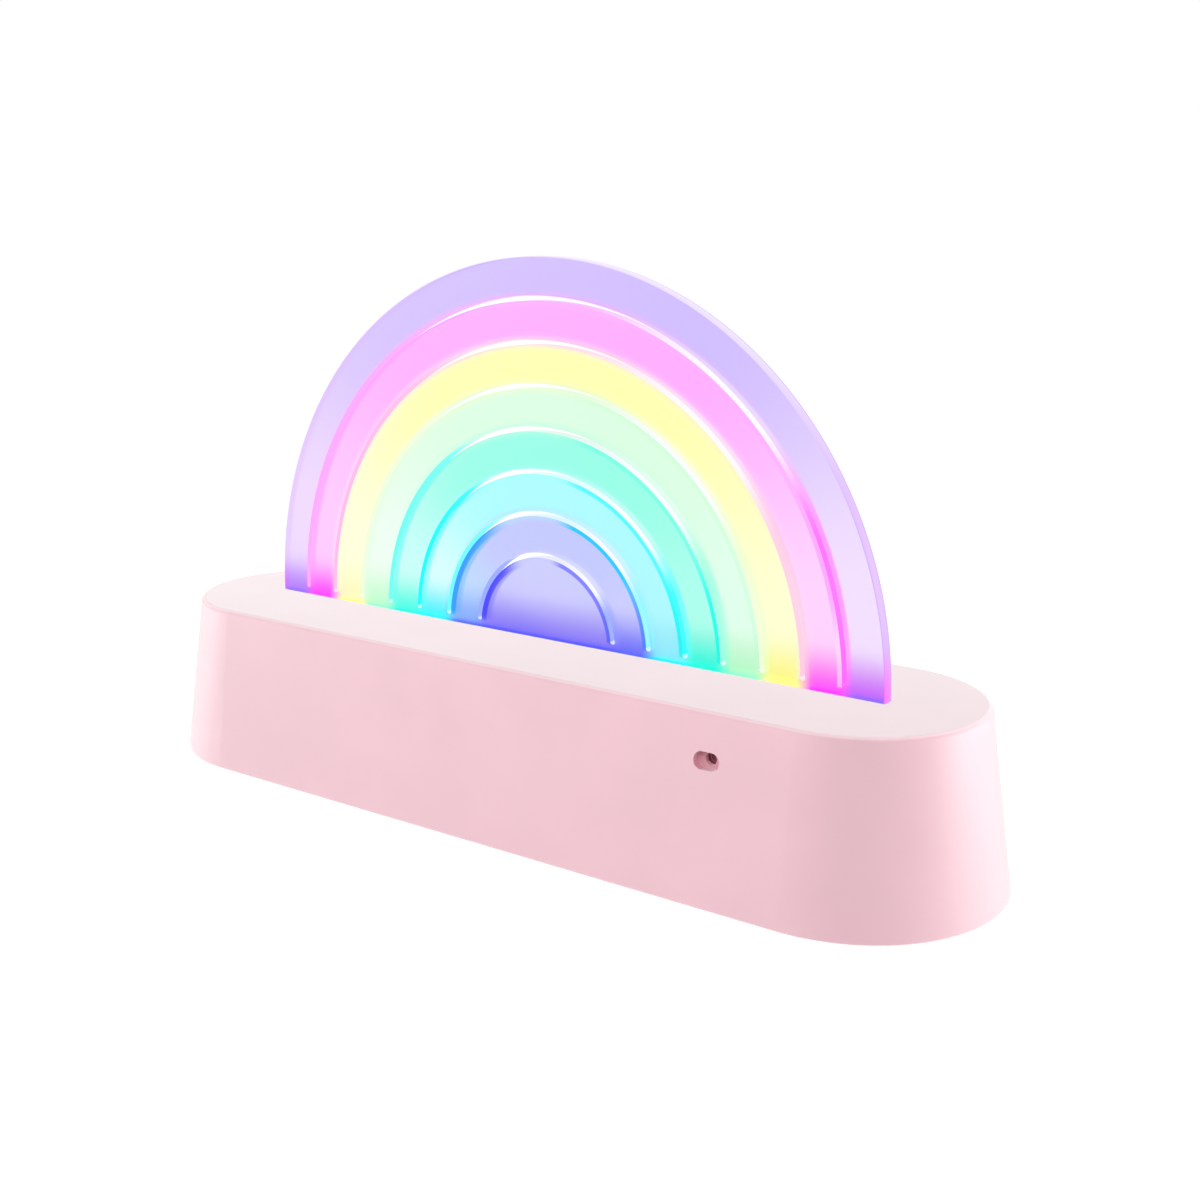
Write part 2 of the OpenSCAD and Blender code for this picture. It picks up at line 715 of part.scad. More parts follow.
module rainbow_plate() {
    color([0.80, 0.85, 1.0, 0.6]) translate([0, plate_t / 2, z_top]) rotate([90, 0, 0])
        linear_extrude(plate_t) difference() {
            plate_outline();
            for (k = [0 : bands - 1]) arc_slot(inner_r + k * pitch);
        }
}

module plate_holder() {
    color("white") difference() {
        union() {
            block([-holder_half, -holder_y, z_led_board], [holder_half, holder_y, z_ceiling]);
            for (at = ear_at) {
                post(at, ear_low, ear_low + ear_t, ear_r);
                block(
                    [at.x - ear_r, min(0, at.y), ear_low],
                    [at.x + ear_r, max(0, at.y), ear_low + ear_t]
                );
            }
        }
        block(
            [-tongue_half - plate_gap, -plate_t / 2 - plate_gap, z_tongue],
            [tongue_half + plate_gap, plate_t / 2 + plate_gap, z_ceiling + 1]
        );
        for (x = led_x) block(
            [x - well_l / 2, -well_w / 2, z_led_board - 1],
            [x + well_l / 2, well_w / 2, z_tongue + eps]
        );
        for (at = ear_at) post(at, ear_low - 1, ear_low + ear_t + 1, screw_d / 2 + part_gap);
        for (x = led_screw_x)
            post([x, 0], z_led_board - 1, z_tongue - 0.3, small_d / 2 + pilot_gap);
    }
}

module holder_screws() {
    color("silver") for (at = ear_at) screw(at, ear_low, screw_head_d, screw_head_h, screw_d, ear_t + 3);
}

module led_board() {
    color([0.93, 0.94, 0.92]) difference() {
        block(
            [-led_board_half, -led_board_y, z_led_under],
            [led_board_half, led_board_y, z_led_board]
        );
        for (x = led_screw_x)
            post([x, 0], z_led_under - 1, z_led_board + 1, small_d / 2 + part_gap);
    }
}

module led_board_screws() {
    color("silver") for (x = led_screw_x)
        screw([x, 0], z_led_under, small_head_d, small_head_h, small_d, board_t + well_h - 0.6);
}

// One light: a square body with a round lens sunk in its top
module leds() {
    color([0.98, 0.97, 0.88]) for (x = led_x) difference() {
        block(
            [x - led_w / 2, -led_deep / 2, z_led_board],
            [x + led_w / 2, led_deep / 2, z_led_board + led_h]
        );
        post([x, 0], z_led_board + led_h - led_dome_deep, z_led_board + led_h + 1, led_dome_d / 2);
    }
}

// A cell lies from its spring to the contact plate at the other end
module battery_cells() {
    color([0.30, 0.45, 0.55]) for (k = [0 : cells - 1]) {
        low = flat_end[k] < 0 ? bay_low_x + contact_t + spring_l : bay_low_x + contact_t + part_gap / 2;
        translate([low + cell_l / 2, cell_y[k], z_cell]) rotate([0, -flat_end[k] * 90, 0])
            translate([0, 0, -cell_l / 2]) {
                cylinder(h = body_l, d = cell_d);
                cylinder(h = cell_l, d = nub_d, $fn = small_fn * 2);
            }
    }
}

// A point on the spring: the wire closes from its wide foot to its narrow tip
function spring_point(u) = let (
    r = spring_foot_r + (spring_tip_r - spring_foot_r) * u,
    turn = 360 * spring_turns * u,
    rise = spring_wire * 1.6 + (spring_l - spring_wire * 2.15) * u
) [r * cos(turn), r * sin(turn), rise];

spring_path = concat(
    [[spring_foot_r, 0, seat_gap], [spring_foot_r, 0, spring_wire]],
    [for (k = [0 : spring_turns * spring_steps]) spring_point(k / (spring_turns * spring_steps))]
);

module contact_springs() {
    color([0.75, 0.75, 0.74]) for (k = [0 : cells - 1]) {
        x = flat_end[k] < 0 ? bay_low_x + contact_t : bay_high_x - contact_t;
        translate([x, cell_y[k], z_cell]) rotate([0, -flat_end[k] * 90, 0])
            tube(spring_path, spring_wire / 2, spring_sides);
    }
}

// Directions along a path of points, and a normal carried from each ring to the next
function unit(v) = v / norm(v);
function headings(path) = [
    for (i = [0 : len(path) - 1]) unit(path[min(i + 1, len(path) - 1)] - path[max(i - 1, 0)])
];
function level_off(v, along) = unit(v - (v * along) * along);
function carried(heading, i, last) = i == 0
    ? [last]
    : let (before = carried(heading, i - 1, last)) concat(before, [level_off(before[i - 1], heading[i])]);
function any_normal(v) = level_off(abs(v.x) < 0.7 ? [1, 0, 0] : [0, 1, 0], v);

// A closed tube swept along a path, with flat ends
module tube(path, r, sides) {
    heading = headings(path);
    normal = carried(heading, len(path) - 1, any_normal(heading[0]));
    rings = [
        for (i = [0 : len(path) - 1], s = [0 : sides - 1])
            let (turn = 360 * s / sides, across = cross(heading[i], normal[i]))
                path[i] + r * (cos(turn) * normal[i] + sin(turn) * across)
    ];
    count = len(path);
    walls = [
        for (i = [0 : count - 2], s = [0 : sides - 1])
            let (a = i * sides + s, b = i * sides + (s + 1) % sides)
                each [[a, a + sides, b], [b, a + sides, b + sides]]
    ];
    last = (count - 1) * sides;
    first_cap = [for (s = [1 : sides - 2]) [0, s, s + 1]];
    last_cap = [for (s = [1 : sides - 2]) [last, last + s + 1, last + s]];
    polyhedron(points = rings, faces = concat(walls, first_cap, last_cap));
}

// A smooth curve through hand-set points, straight over its first and last stretch
function curve_point(p, q, r, s, t) = 0.5 * (
    2 * q + (r - p) * t + (2 * p - 5 * q + 4 * r - s) * t * t + (3 * q - p - 3 * r + s) * t * t * t
);
function smooth(route, steps) = concat(
    [route[0]],
    [
        for (i = [1 : len(route) - 3], k = [0 : steps - 1])
            curve_point(route[i - 1], route[i], route[i + 1], route[i + 2], k / steps)
    ],
    [route[len(route) - 2], route[len(route) - 1]]
);

module lead(route, steps) {
    tube(smooth(route, steps), lead_d / 2, 8);
}

module control_board() {
    color([0.16, 0.42, 0.28]) difference() {
        block(
            [ctrl_low_x, ctrl_front, z_ctrl - board_t],
            [ctrl_high_x, ctrl_back, z_ctrl]
        );
        for (at = ctrl_boss_at) post(at, z_ctrl - board_t - 1, z_ctrl + 1, small_d / 2 + part_gap);
    }
}

module control_board_screws() {
    color("silver") for (at = ctrl_boss_at)
        screw(at, z_ctrl - board_t, small_head_d, small_head_h, small_d, small_l);
}

// A chip with eight gull-wing legs along each long side
module control_chip() {
    lift = leg_w / 2;
    bend = lift + chip.z / 2;
    foot_l = 0.55;
    color([0.12, 0.12, 0.13]) {
        block(
            [chip_at.x - chip.x / 2, chip_at.y - chip.y / 2, z_ctrl + lift],
            [chip_at.x + chip.x / 2, chip_at.y + chip.y / 2, z_ctrl + lift + chip.z]
        );
        for (k = [-3.5 : 3.5], side = [-1, 1])
            translate([chip_at.x + k * leg_pitch, chip_at.y + side * chip.y / 2, z_ctrl])
                mirror([0, side < 0 ? 1 : 0, 0]) {
                    block([-leg_w / 2, -0.1, bend - leg_t], [leg_w / 2, foot_l, bend]);
                    block([-leg_w / 2, foot_l - leg_t, 0], [leg_w / 2, foot_l, bend]);
                    block([-leg_w / 2, foot_l - leg_t, 0], [leg_w / 2, 2 * foot_l, leg_t]);
                }
    }
}

// Two can capacitors on square feet
module capacitors() {
    foot_h = 1;
    neck_h = 1;
    color([0.78, 0.79, 0.80]) for (at = can_at) {
        block(
            [at.x - can_foot / 2, at.y - can_foot / 2, z_ctrl],
            [at.x + can_foot / 2, at.y + can_foot / 2, z_ctrl + foot_h]
        );
        post(at, z_ctrl + foot_h - eps, z_ctrl + can_h - 0.6, can_r * 0.95);
        post(at, z_ctrl + foot_h + neck_h, z_ctrl + can_h, can_r);
    }
}

module chip_resistors() {
    color([0.15, 0.15, 0.17]) for (col = [0 : 3], row = [0 : 1]) {
        x = resistor_low.x + col * resistor_step.x;
        y = resistor_low.y + row * resistor_step.y;
        block(
            [x - resistor.x / 2, y - resistor.y / 2, z_ctrl],
            [x + resistor.x / 2, y + resistor.y / 2, z_ctrl + resistor.z]
        );
    }
}

// Three shrouded headers with their plugs pushed home
module wire_headers() {
    color([0.95, 0.93, 0.88]) for (at = [power_header, led_header, mic_header]) {
        block(
            [at.x - header_l / 2, at.y - header_w / 2, z_ctrl],
            [at.x + header_l / 2, at.y + header_w / 2, z_header - plug_lip]
        );
        block(
            [at.x - plug_l / 2, at.y - plug_w / 2, z_ctrl],
            [at.x + plug_l / 2, at.y + plug_w / 2, z_header]
        );
    }
}

// Rolled steel shell with its tongue inside
module usb_socket() {
    mouth = panel_y - usb_wall;
    inner_h = usb_h - 2 * usb_wall;
    inner_w = usb_w - 2 * usb_wall;
    color([0.78, 0.78, 0.80]) {
        difference() {
            round_bar(usb_x, z_panel, usb_w, usb_h, mouth - usb_l, mouth);
            round_bar(usb_x, z_panel, inner_w, inner_h, mouth - usb_l + 1, mouth + 1);
        }
        block(
            [usb_x - usb_tongue_w / 2, mouth - usb_l + 1 - eps, z_panel - usb_tongue_t / 2],
            [usb_x + usb_tongue_w / 2, mouth - 0.8, z_panel + usb_tongue_t / 2]
        );
    }
}

// Pressed frame of the slide switch, open where the knob passes
module switch_body() {
    slot_half = knob_w / 2 + switch_travel + knob_gap;
    color([0.80, 0.80, 0.80]) difference() {
        block(
            [switch_x - switch_l / 2, switch_y - switch_deep, z_ctrl],
            [switch_x + switch_l / 2, switch_y, z_ctrl + switch_h]
        );
        block(
            [switch_x - slot_half, switch_y - 1.6, z_panel - knob_h / 2 - 0.1],
            [switch_x + slot_half, switch_y + 1, z_panel + knob_h / 2 + 0.1]
        );
    }
}

module switch_knob() {
    color([0.20, 0.20, 0.21]) difference() {
        block(
            [switch_x - knob_w / 2, switch_y - 1.5, z_panel - knob_h / 2],
            [switch_x + knob_w / 2, panel_y + knob_out, z_panel + knob_h / 2]
        );
        for (k = [-1, 0, 1]) translate([switch_x + k * 1.1, panel_y + knob_out, z_panel])
            cylinder(h = knob_h + 1, r = 0.3, center = true, $fn = small_fn);
    }
}

// Capsule with its sound opening towards the wall
module microphone() {
    y_front = mic_back_y + boot_front;
    color([0.80, 0.80, 0.80]) difference() {
        translate([mic_x, y_front, z_mic]) rotate([-90, 0, 0])
            cylinder(h = capsule_l, d = mic_d - 0.1, $fn = small_fn * 2);
        translate([mic_x, y_front - 1, z_mic]) rotate([-90, 0, 0])
            cylinder(h = 1.4, d = 2, $fn = small_fn);
    }
}

module mic_boot() {
    color([0.12, 0.12, 0.12]) difference() {
        translate([mic_x, mic_back_y, z_mic]) rotate([-90, 0, 0])
            cylinder(h = boot_l, r = boot_r, $fn = small_fn * 2);
        translate([mic_x, mic_back_y - 1, z_mic]) rotate([-90, 0, 0])
            cylinder(h = boot_l, d = mic_hole_d, $fn = small_fn * 2);
        translate([mic_x, mic_back_y + boot_front, z_mic]) rotate([-90, 0, 0])
            cylinder(h = boot_l, d = mic_d, $fn = small_fn * 2);
    }
}

module battery_lead_red() {
    color([0.80, 0.10, 0.10]) lead(red_route, 3);
}

module battery_lead_black() {
    color([0.10, 0.10, 0.10]) lead(black_route, 4);
}

module led_lead() {
    color([0.85, 0.85, 0.85]) lead(led_route, 2);
}

module mic_lead() {
    color([0.60, 0.60, 0.62]) lead(mic_route, 3);
}

// Least gap between one turn of the spring and the next
spring_gap = min([
    for (i = [2 : len(spring_path) - 1], j = [2 : len(spring_path) - 1])
        if (j - i >= spring_steps * 0.75) norm(spring_path[i] - spring_path[j]) - spring_wire
]);
echo(spring_gap = spring_gap);

base_shell();
bottom_cover();
battery_door();
door_screw();
rubber_feet();
cover_screws();
rainbow_plate();
plate_holder();
holder_screws();
led_board();
led_board_screws();
leds();
battery_cells();
contact_plates();
contact_springs();
control_board();
control_board_screws();
control_chip();
capacitors();
chip_resistors();
wire_headers();
usb_socket();
switch_body();
switch_knob();
microphone();
mic_boot();
battery_lead_red();
battery_lead_black();
led_lead();
mic_lead();
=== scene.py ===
"""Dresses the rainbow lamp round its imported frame.

The lamp is a clear half-disc light guide with curved slots, standing in a long pale pink base. Sizes in the
classes are in millimetres, as in the part's source, and meshes are in metres.
"""

import logging
import math
from collections.abc import Callable
from dataclasses import dataclass, field
from enum import Enum

import bmesh
import bpy
from mathutils import Matrix, Vector


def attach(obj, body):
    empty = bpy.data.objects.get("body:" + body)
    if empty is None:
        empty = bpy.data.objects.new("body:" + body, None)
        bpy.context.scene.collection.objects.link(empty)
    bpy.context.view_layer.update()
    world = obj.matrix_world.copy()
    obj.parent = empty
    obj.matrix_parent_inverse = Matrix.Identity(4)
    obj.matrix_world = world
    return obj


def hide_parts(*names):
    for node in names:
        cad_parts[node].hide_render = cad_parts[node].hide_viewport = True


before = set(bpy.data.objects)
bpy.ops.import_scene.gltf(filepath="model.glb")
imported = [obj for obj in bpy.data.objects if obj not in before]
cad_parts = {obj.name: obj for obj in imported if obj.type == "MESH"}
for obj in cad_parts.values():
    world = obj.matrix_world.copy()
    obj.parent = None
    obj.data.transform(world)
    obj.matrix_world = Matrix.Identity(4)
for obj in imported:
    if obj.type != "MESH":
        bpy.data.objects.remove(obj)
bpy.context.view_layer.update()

MM = 0.001
LOG = logging.getLogger("rainbow_lamp")

Colour = tuple[float, float, float]
Point = tuple[float, float, float]
# Where a fade is 0 and where it is 1.
Span = tuple[float, float]

WHITE: Colour = (1.0, 1.0, 1.0)
BLACK: Colour = (0.0, 0.0, 0.0)


class Body(Enum):
    """The bodies that a piece can ride on."""

    ROOT = "root"
    DOOR = "battery_door_leaf"
    KNOB = "mode_knob"


class Ray(Enum):
    """The rays that meet a plain white room."""

    CAMERA = "Is Camera Ray"
    GLOSSY = "Is Glossy Ray"
    TRANSMISSION = "Is Transmission Ray"


def rgb(red: float, green: float, blue: float) -> Colour:
    """Turns a colour of 0 to 255, as a screen shows it, into linear light.

    Args:
        red: Red, 0 to 255.
        green: Green, 0 to 255.
        blue: Blue, 0 to 255.

    Returns:
        The same colour in linear values.
    """
    out = []
    for value in (red, green, blue):
        part = value / 255
        out.append(part / 12.92 if part <= 0.04045 else ((part + 0.055) / 1.055) ** 2.4)
    return tuple(out)


def scaled(colour: Colour, factor: float) -> Colour:
    """Gives a colour made lighter or darker by a factor."""
    return tuple(value * factor for value in colour)


class Signal:
    """A number that varies over a surface or along a mesh, with Python's operators."""

    def __init__(self, bench: "Bench", socket: bpy.types.NodeSocket) -> None:
        """Wraps one socket of a bench's tree.

        Args:
            bench: The bench whose tree the socket is in.
            socket: The output socket that gives the number.
        """
        self.bench = bench
        self.socket = socket

    def calc(self, operation: str, *values: "Signal | float") -> "Signal":
        """Adds one Math node.

        Args:
            operation: The node's operation.
            values: Its inputs, in order.

        Returns:
            The node's result.
        """
        made = self.bench.node("ShaderNodeMath", {"operation": operation}, dict(enumerate(values)))
        return Signal(self.bench, made.outputs[0])

    def __add__(self, other: "Signal | float") -> "Signal":
        """Adds."""
        return self.calc("ADD", self, other)

    def __sub__(self, other: "Signal | float") -> "Signal":
        """Takes the other away from this."""
        return self.calc("SUBTRACT", self, other)

    def __rsub__(self, other: float) -> "Signal":
        """Takes this away from the other."""
        return self.calc("SUBTRACT", other, self)

    def __mul__(self, other: "Signal | float") -> "Signal":
        """Multiplies."""
        return self.calc("MULTIPLY", self, other)

    def __truediv__(self, other: "Signal | float") -> "Signal":
        """Divides this by the other."""
        return self.calc("DIVIDE", self, other)

    def __rtruediv__(self, other: float) -> "Signal":
        """Divides the other by this."""
        return self.calc("DIVIDE", other, self)

    def __gt__(self, other: "Signal | float") -> "Signal":
        """Gives 1 where this is greater."""
        return self.calc("GREATER_THAN", self, other)

    def __lt__(self, other: "Signal | float") -> "Signal":
        """Gives 1 where this is less."""
        return self.calc("LESS_THAN", self, other)

    def __mod__(self, other: float) -> "Signal":
        """Gives the remainder, which is never negative."""
        return self.calc("FLOORED_MODULO", self, other)

    def __abs__(self) -> "Signal":
        """Drops the sign."""
        return self.calc("ABSOLUTE", self)

    __radd__ = __add__
    __rmul__ = __mul__

    def root(self) -> "Signal":
        """Gives the square root."""
        return self.calc("SQRT", self)

    def fade(self, low: float, high: float) -> "Signal":
        """Rises smoothly from 0 at one value to 1 at another.

        Args:
            low: Where the result is 0.
            high: Where the result is 1.

        Returns:
            A number from 0 to 1.
        """
        inputs = {"Value": self, "From Min": low, "From Max": high}
        made = self.bench.node("ShaderNodeMapRange", {"interpolation_type": "SMOOTHSTEP"}, inputs)
        return Signal(self.bench, made.outputs[0])

    def about(self, middle: float, spread: float) -> "Signal":
        """Turns a number from 0 to 1 into one that varies about a middle."""
        return middle + spread * (self - 0.5)


class Bench:
    """A node tree, with one way of adding nodes to it."""

    def __init__(self, tree: bpy.types.NodeTree) -> None:
        """Takes over a tree.

        Args:
            tree: The tree that nodes are added to.
        """
        self.tree = tree

    def node(self, kind: str, settings: dict | None = None, inputs: dict | None = None) -> bpy.types.Node:
        """Adds one node.

        Args:
            kind: The node's type.
            settings: Its properties, which are set first. The stops of a ramp are one of them.
            inputs: Values, signals or sockets, by the socket's identifier or number.

        Returns:
            The new node.
        """
        made = self.tree.nodes.new(kind)
        for name, value in (settings or {}).items():
            if name == "stops":
                self.set_stops(made.color_ramp, value)
            else:
                setattr(made, name, value)
        for key, value in (inputs or {}).items():
            found = made.inputs[key] if isinstance(key, int) else None
            found = found or next(s for s in made.inputs if s.identifier == key)
            self.feed(found, value)
        return made

    def feed(self, socket: bpy.types.NodeSocket, value: object) -> None:
        """Links or sets one input socket.

        Args:
            socket: The input.
            value: A signal, an output socket, a list of sockets, or a plain value.
        """
        if isinstance(value, list):
            for each in value:
                self.feed(socket, each)
        elif isinstance(value, Signal):
            self.tree.links.new(value.socket, socket)
        elif isinstance(value, bpy.types.NodeSocket):
            self.tree.links.new(value, socket)
        elif socket.type == "RGBA" and len(value) == 3:
            socket.default_value = (*value, 1.0)
        else:
            socket.default_value = value

    @staticmethod
    def set_stops(ramp: bpy.types.ColorRamp, stops: list[tuple[float, Colour]]) -> None:
        """Gives a ramp its stops.

        Args:
            ramp: The ramp.
            stops: Places from 0 to 1, in order, with their colours.
        """
        while len(ramp.elements) < len(stops):
            ramp.elements.new(1.0)
        for element, (place, colour) in zip(ramp.elements, stops):
            element.position = place
            element.color = (*colour, 1.0)

    def split(self, vector: bpy.types.NodeSocket) -> list[Signal]:
        """Splits a vector into three signals."""
        made = self.node("ShaderNodeSeparateXYZ", inputs={"Vector": vector})
        return [Signal(self, socket) for socket in made.outputs]

    def seen(self, *rays: Ray) -> Signal:
        """Gives 1 to some rays and 0 to all others.

        Args:
            rays: The rays.

        Returns:
            The number.
        """
        path = self.node("ShaderNodeLightPath")
        first, *rest = [Signal(self, path.outputs[ray.value]) for ray in rays]
        for other in rest:
            first = first.calc("MAXIMUM", first, other)
        return first

    def join(self, x: Signal | float, y: Signal | float, z: Signal | float) -> bpy.types.NodeSocket:
        """Makes a vector of three numbers."""
        return self.node("ShaderNodeCombineXYZ", inputs={0: x, 1: y, 2: z}).outputs[0]


class Recipe(Bench):
    """The nodes of one material: its shader, and the place on the piece in millimetres."""

    def __init__(self, name: str, **constants: object) -> None:
        """Starts a material.

        Args:
            name: The material's name.
            constants: Values of the shader's own sockets, with _ for each space in a name.
        """
        self.material = bpy.data.materials.new(name)
        self.material.use_nodes = True
        super().__init__(self.material.node_tree)
        self.tree.nodes.clear()
        values = {key.replace("_", " "): value for key, value in constants.items()}
        self.shader = self.node("ShaderNodeBsdfPrincipled", inputs=values)
        self.out = self.node("ShaderNodeOutputMaterial", inputs={"Surface": self.shader.outputs[0]})
        self.place = self.node("ShaderNodeTexCoord").outputs["Object"]
        self.x, self.y, self.z = (axis / MM for axis in self.split(self.place))

    def paint(self, **links: object) -> bpy.types.Material:
        """Feeds the shader with what varies over the surface.

        Args:
            links: Signals or sockets by socket name, with _ for each space.

        Returns:
            The material.
        """
        for name, value in links.items():
            self.feed(self.shader.inputs[name.replace("_", " ")], value)
        return self.material

    def mix(self, factor: Signal | float, first: object, second: object) -> bpy.types.NodeSocket:
        """Mixes two colours.

        Args:
            factor: 0 gives the first and 1 the second.
            first: A colour or a colour socket.
            second: The same.

        Returns:
            The mixed colour.
        """
        inputs = {"Factor_Float": factor, "A_Color": first, "B_Color": second}
        made = self.node("ShaderNodeMix", {"data_type": "RGBA"}, inputs)
        return next(s for s in made.outputs if s.identifier == "Result_Color")

    def clouded(self, clouds: Signal, colour: Colour, shade: float) -> bpy.types.NodeSocket:
        """Gives a colour that is darker by a factor where the clouds are 0."""
        return self.mix(clouds, scaled(colour, shade), colour)

    def layers(self, base: object, *over: tuple[Signal | float, object]) -> bpy.types.NodeSocket:
        """Lays colours over a base.

        Args:
            base: A colour or a colour socket.
            over: Masks with the colours that show where they are 1, from the lowest layer up.

        Returns:
            The colour.
        """
        for mask, colour in over:
            base = self.mix(mask, base, colour)
        return base

    def blend(self, factor: Signal | bpy.types.NodeSocket, first: bpy.types.Node,
              second: bpy.types.Node) -> bpy.types.Node:
        """Mixes two shaders, of which a factor of 0 gives the first."""
        inputs = {0: factor, 1: first.outputs[0], 2: second.outputs[0]}
        return self.node("ShaderNodeMixShader", inputs=inputs)

    def ramp(self, along: Signal, stops: list[tuple[float, Colour]],
             steps: bool = False) -> bpy.types.NodeSocket:
        """Gives a colour that follows a number.

        Args:
            along: A number from 0 to 1.
            stops: The ramp's stops.
            steps: Whether the colour jumps at each stop.

        Returns:
            The colour.
        """
        made = self.node("ShaderNodeValToRGB", {"stops": stops}, {"Fac": along})
        made.color_ramp.interpolation = "CONSTANT" if steps else "LINEAR"
        return made.outputs["Color"]

    def noise(self, grain: float, detail: float = 2.0, stretch: Point | None = None) -> Signal:
        """Gives a cloudy number from 0 to 1.

        Args:
            grain: The size of a cloud in millimetres.
            detail: How many finer clouds are laid over it.
            stretch: Factors on the three axes, for a pattern with a direction.

        Returns:
            The number.
        """
        place = self.place
        if stretch:
            scale = {"Scale": stretch, "Vector": self.place}
            place = self.node("ShaderNodeMapping", inputs=scale).outputs[0]
        inputs = {"Vector": place, "Scale": 1 / (grain * MM), "Detail": detail}
        return Signal(self, self.node("ShaderNodeTexNoise", inputs=inputs).outputs["Fac"])

    def slope(self) -> Signal:
        """Gives how far the surface faces up: 1 on a top, 0 on an upright side."""
        normal = self.node("ShaderNodeTexCoord").outputs["Normal"]
        return self.split(normal)[2]

    def bump(self, height: Signal, depth: float, strength: float = 1.0) -> bpy.types.NodeSocket:
        """Gives the normal of a fine relief.

        Args:
            height: The relief, from 0 to 1.
            depth: Its depth in millimetres.
            strength: How much of it shows.

        Returns:
            The normal.
        """
        inputs = {"Height": height, "Distance": depth * MM, "Strength": strength}
        return self.node("ShaderNodeBump", inputs=inputs).outputs["Normal"]


class Jig(Bench):
    """A Geometry Nodes tree with named inputs, which makes one plain mesh at a time."""

    def __init__(self, name: str) -> None:
        """Starts a tree.

        Args:
            name: The tree's name.
        """
        self.group = bpy.data.node_groups.new(name, "GeometryNodeTree")
        super().__init__(self.group)
        self.labels: dict[str, str] = {}
        self.group.interface.new_socket("Geometry", in_out="OUTPUT", socket_type="NodeSocketGeometry")
        self.source = self.node("NodeGroupInput")
        self.start = self.take("Geometry", "NodeSocketGeometry")

    def take(self, label: str, kind: str = "NodeSocketFloat") -> bpy.types.NodeSocket:
        """Adds a named input to the tree.

        Args:
            label: The input's name.
            kind: The type of its socket.

        Returns:
            The socket that gives it inside the tree.
        """
        item = self.group.interface.new_socket(label, in_out="INPUT", socket_type=kind)
        self.labels[label] = item.identifier
        return next(s for s in self.source.outputs if s.identifier == item.identifier)

    def size(self, label: str) -> Signal:
        """Adds a named length to the tree, in metres."""
        return Signal(self, self.take(label))

    def finish(self, shape: bpy.types.NodeSocket, dress: list[tuple[str, Signal | None]]) -> None:
        """Ends the tree: what it made becomes real and gets its materials.

        Args:
            shape: The geometry.
            dress: Each material's input name, with the faces it goes on, or None for all.
        """
        shape = self.node("GeometryNodeRealizeInstances", inputs={"Geometry": shape}).outputs[0]
        for label, faces in dress:
            inputs = {"Geometry": shape, "Material": self.take(label, "NodeSocketMaterial")}
            if faces is not None:
                inputs["Selection"] = faces
            shape = self.node("GeometryNodeSetMaterial", inputs=inputs).outputs[0]
        self.node("NodeGroupOutput", inputs={0: shape})

    def grow(self, name: str, values: dict[str, object],
             start: bpy.types.Mesh | None = None) -> bpy.types.Object:
        """Runs the tree and keeps its result as a plain mesh.

        Args:
            name: The new piece's name.
            values: The tree's inputs by name.
            start: The mesh that the tree starts from, if it needs one.

        Returns:
            The piece, with no modifier left on it.
        """
        piece = bpy.data.objects.new(name, start or bpy.data.meshes.new(name))
        bpy.context.scene.collection.objects.link(piece)
        modifier = piece.modifiers.new("Shape", "NODES")
        modifier.node_group = self.group
        for label, value in values.items():
            modifier[self.labels[label]] = value
        settle(piece)
        piece.data.name = name
        return piece


def mesh_of(name: str, points: list[Point], faces: list[tuple[int, ...]],
            edges: list[tuple[int, int]] | None = None) -> bpy.types.Mesh:
    """Makes a mesh of points in millimetres.

    Args:
        name: The mesh's name.
        points: The points.
        faces: The faces, as point numbers.
        edges: Loose edges, as point numbers.

    Returns:
        The mesh, in metres.
    """
    mesh = bpy.data.meshes.new(name)
    mesh.from_pydata([Vector(p) * MM for p in points], edges or [], faces)
    return mesh


def piece_of(mesh: bpy.types.Mesh, material: bpy.types.Material | None = None) -> bpy.types.Object:
    """Puts a mesh in the scene as a piece of the same name.

    Args:
        mesh: The mesh.
        material: Its one material, if it gets it here.

    Returns:
        The piece.
    """
    piece = bpy.data.objects.new(mesh.name, mesh)
    bpy.context.scene.collection.objects.link(piece)
    if material:
        mesh.materials.append(material)
    return piece


def settle(piece: bpy.types.Object) -> None:
    """Keeps what a piece's modifiers make of it as its plain mesh, and removes them.

    Args:
        piece: The piece.
    """
    bpy.context.view_layer.update()
    depsgraph = bpy.context.evaluated_depsgraph_get()
    made = bpy.data.meshes.new_from_object(piece.evaluated_get(depsgraph), depsgraph=depsgraph)
    piece.modifiers.clear()
    piece.data = made


def discard(piece: bpy.types.Object) -> None:
    """Removes a working shape that isn't part of the lamp.

    Args:
        piece: The working shape.
    """
    mesh = piece.data
    bpy.data.objects.remove(piece)
    bpy.data.meshes.remove(mesh)


def soften(mesh: bpy.types.Mesh, angle: float) -> None:
    """Shades a mesh smooth, but for its sharpest edges.

    Args:
        mesh: The mesh.
        angle: How sharp an edge has to be to stay one, in degrees.
    """
    mesh.polygons.foreach_set("use_smooth", [True] * len(mesh.polygons))
    mesh.set_sharp_from_angle(angle=math.radians(angle))
    mesh.update()


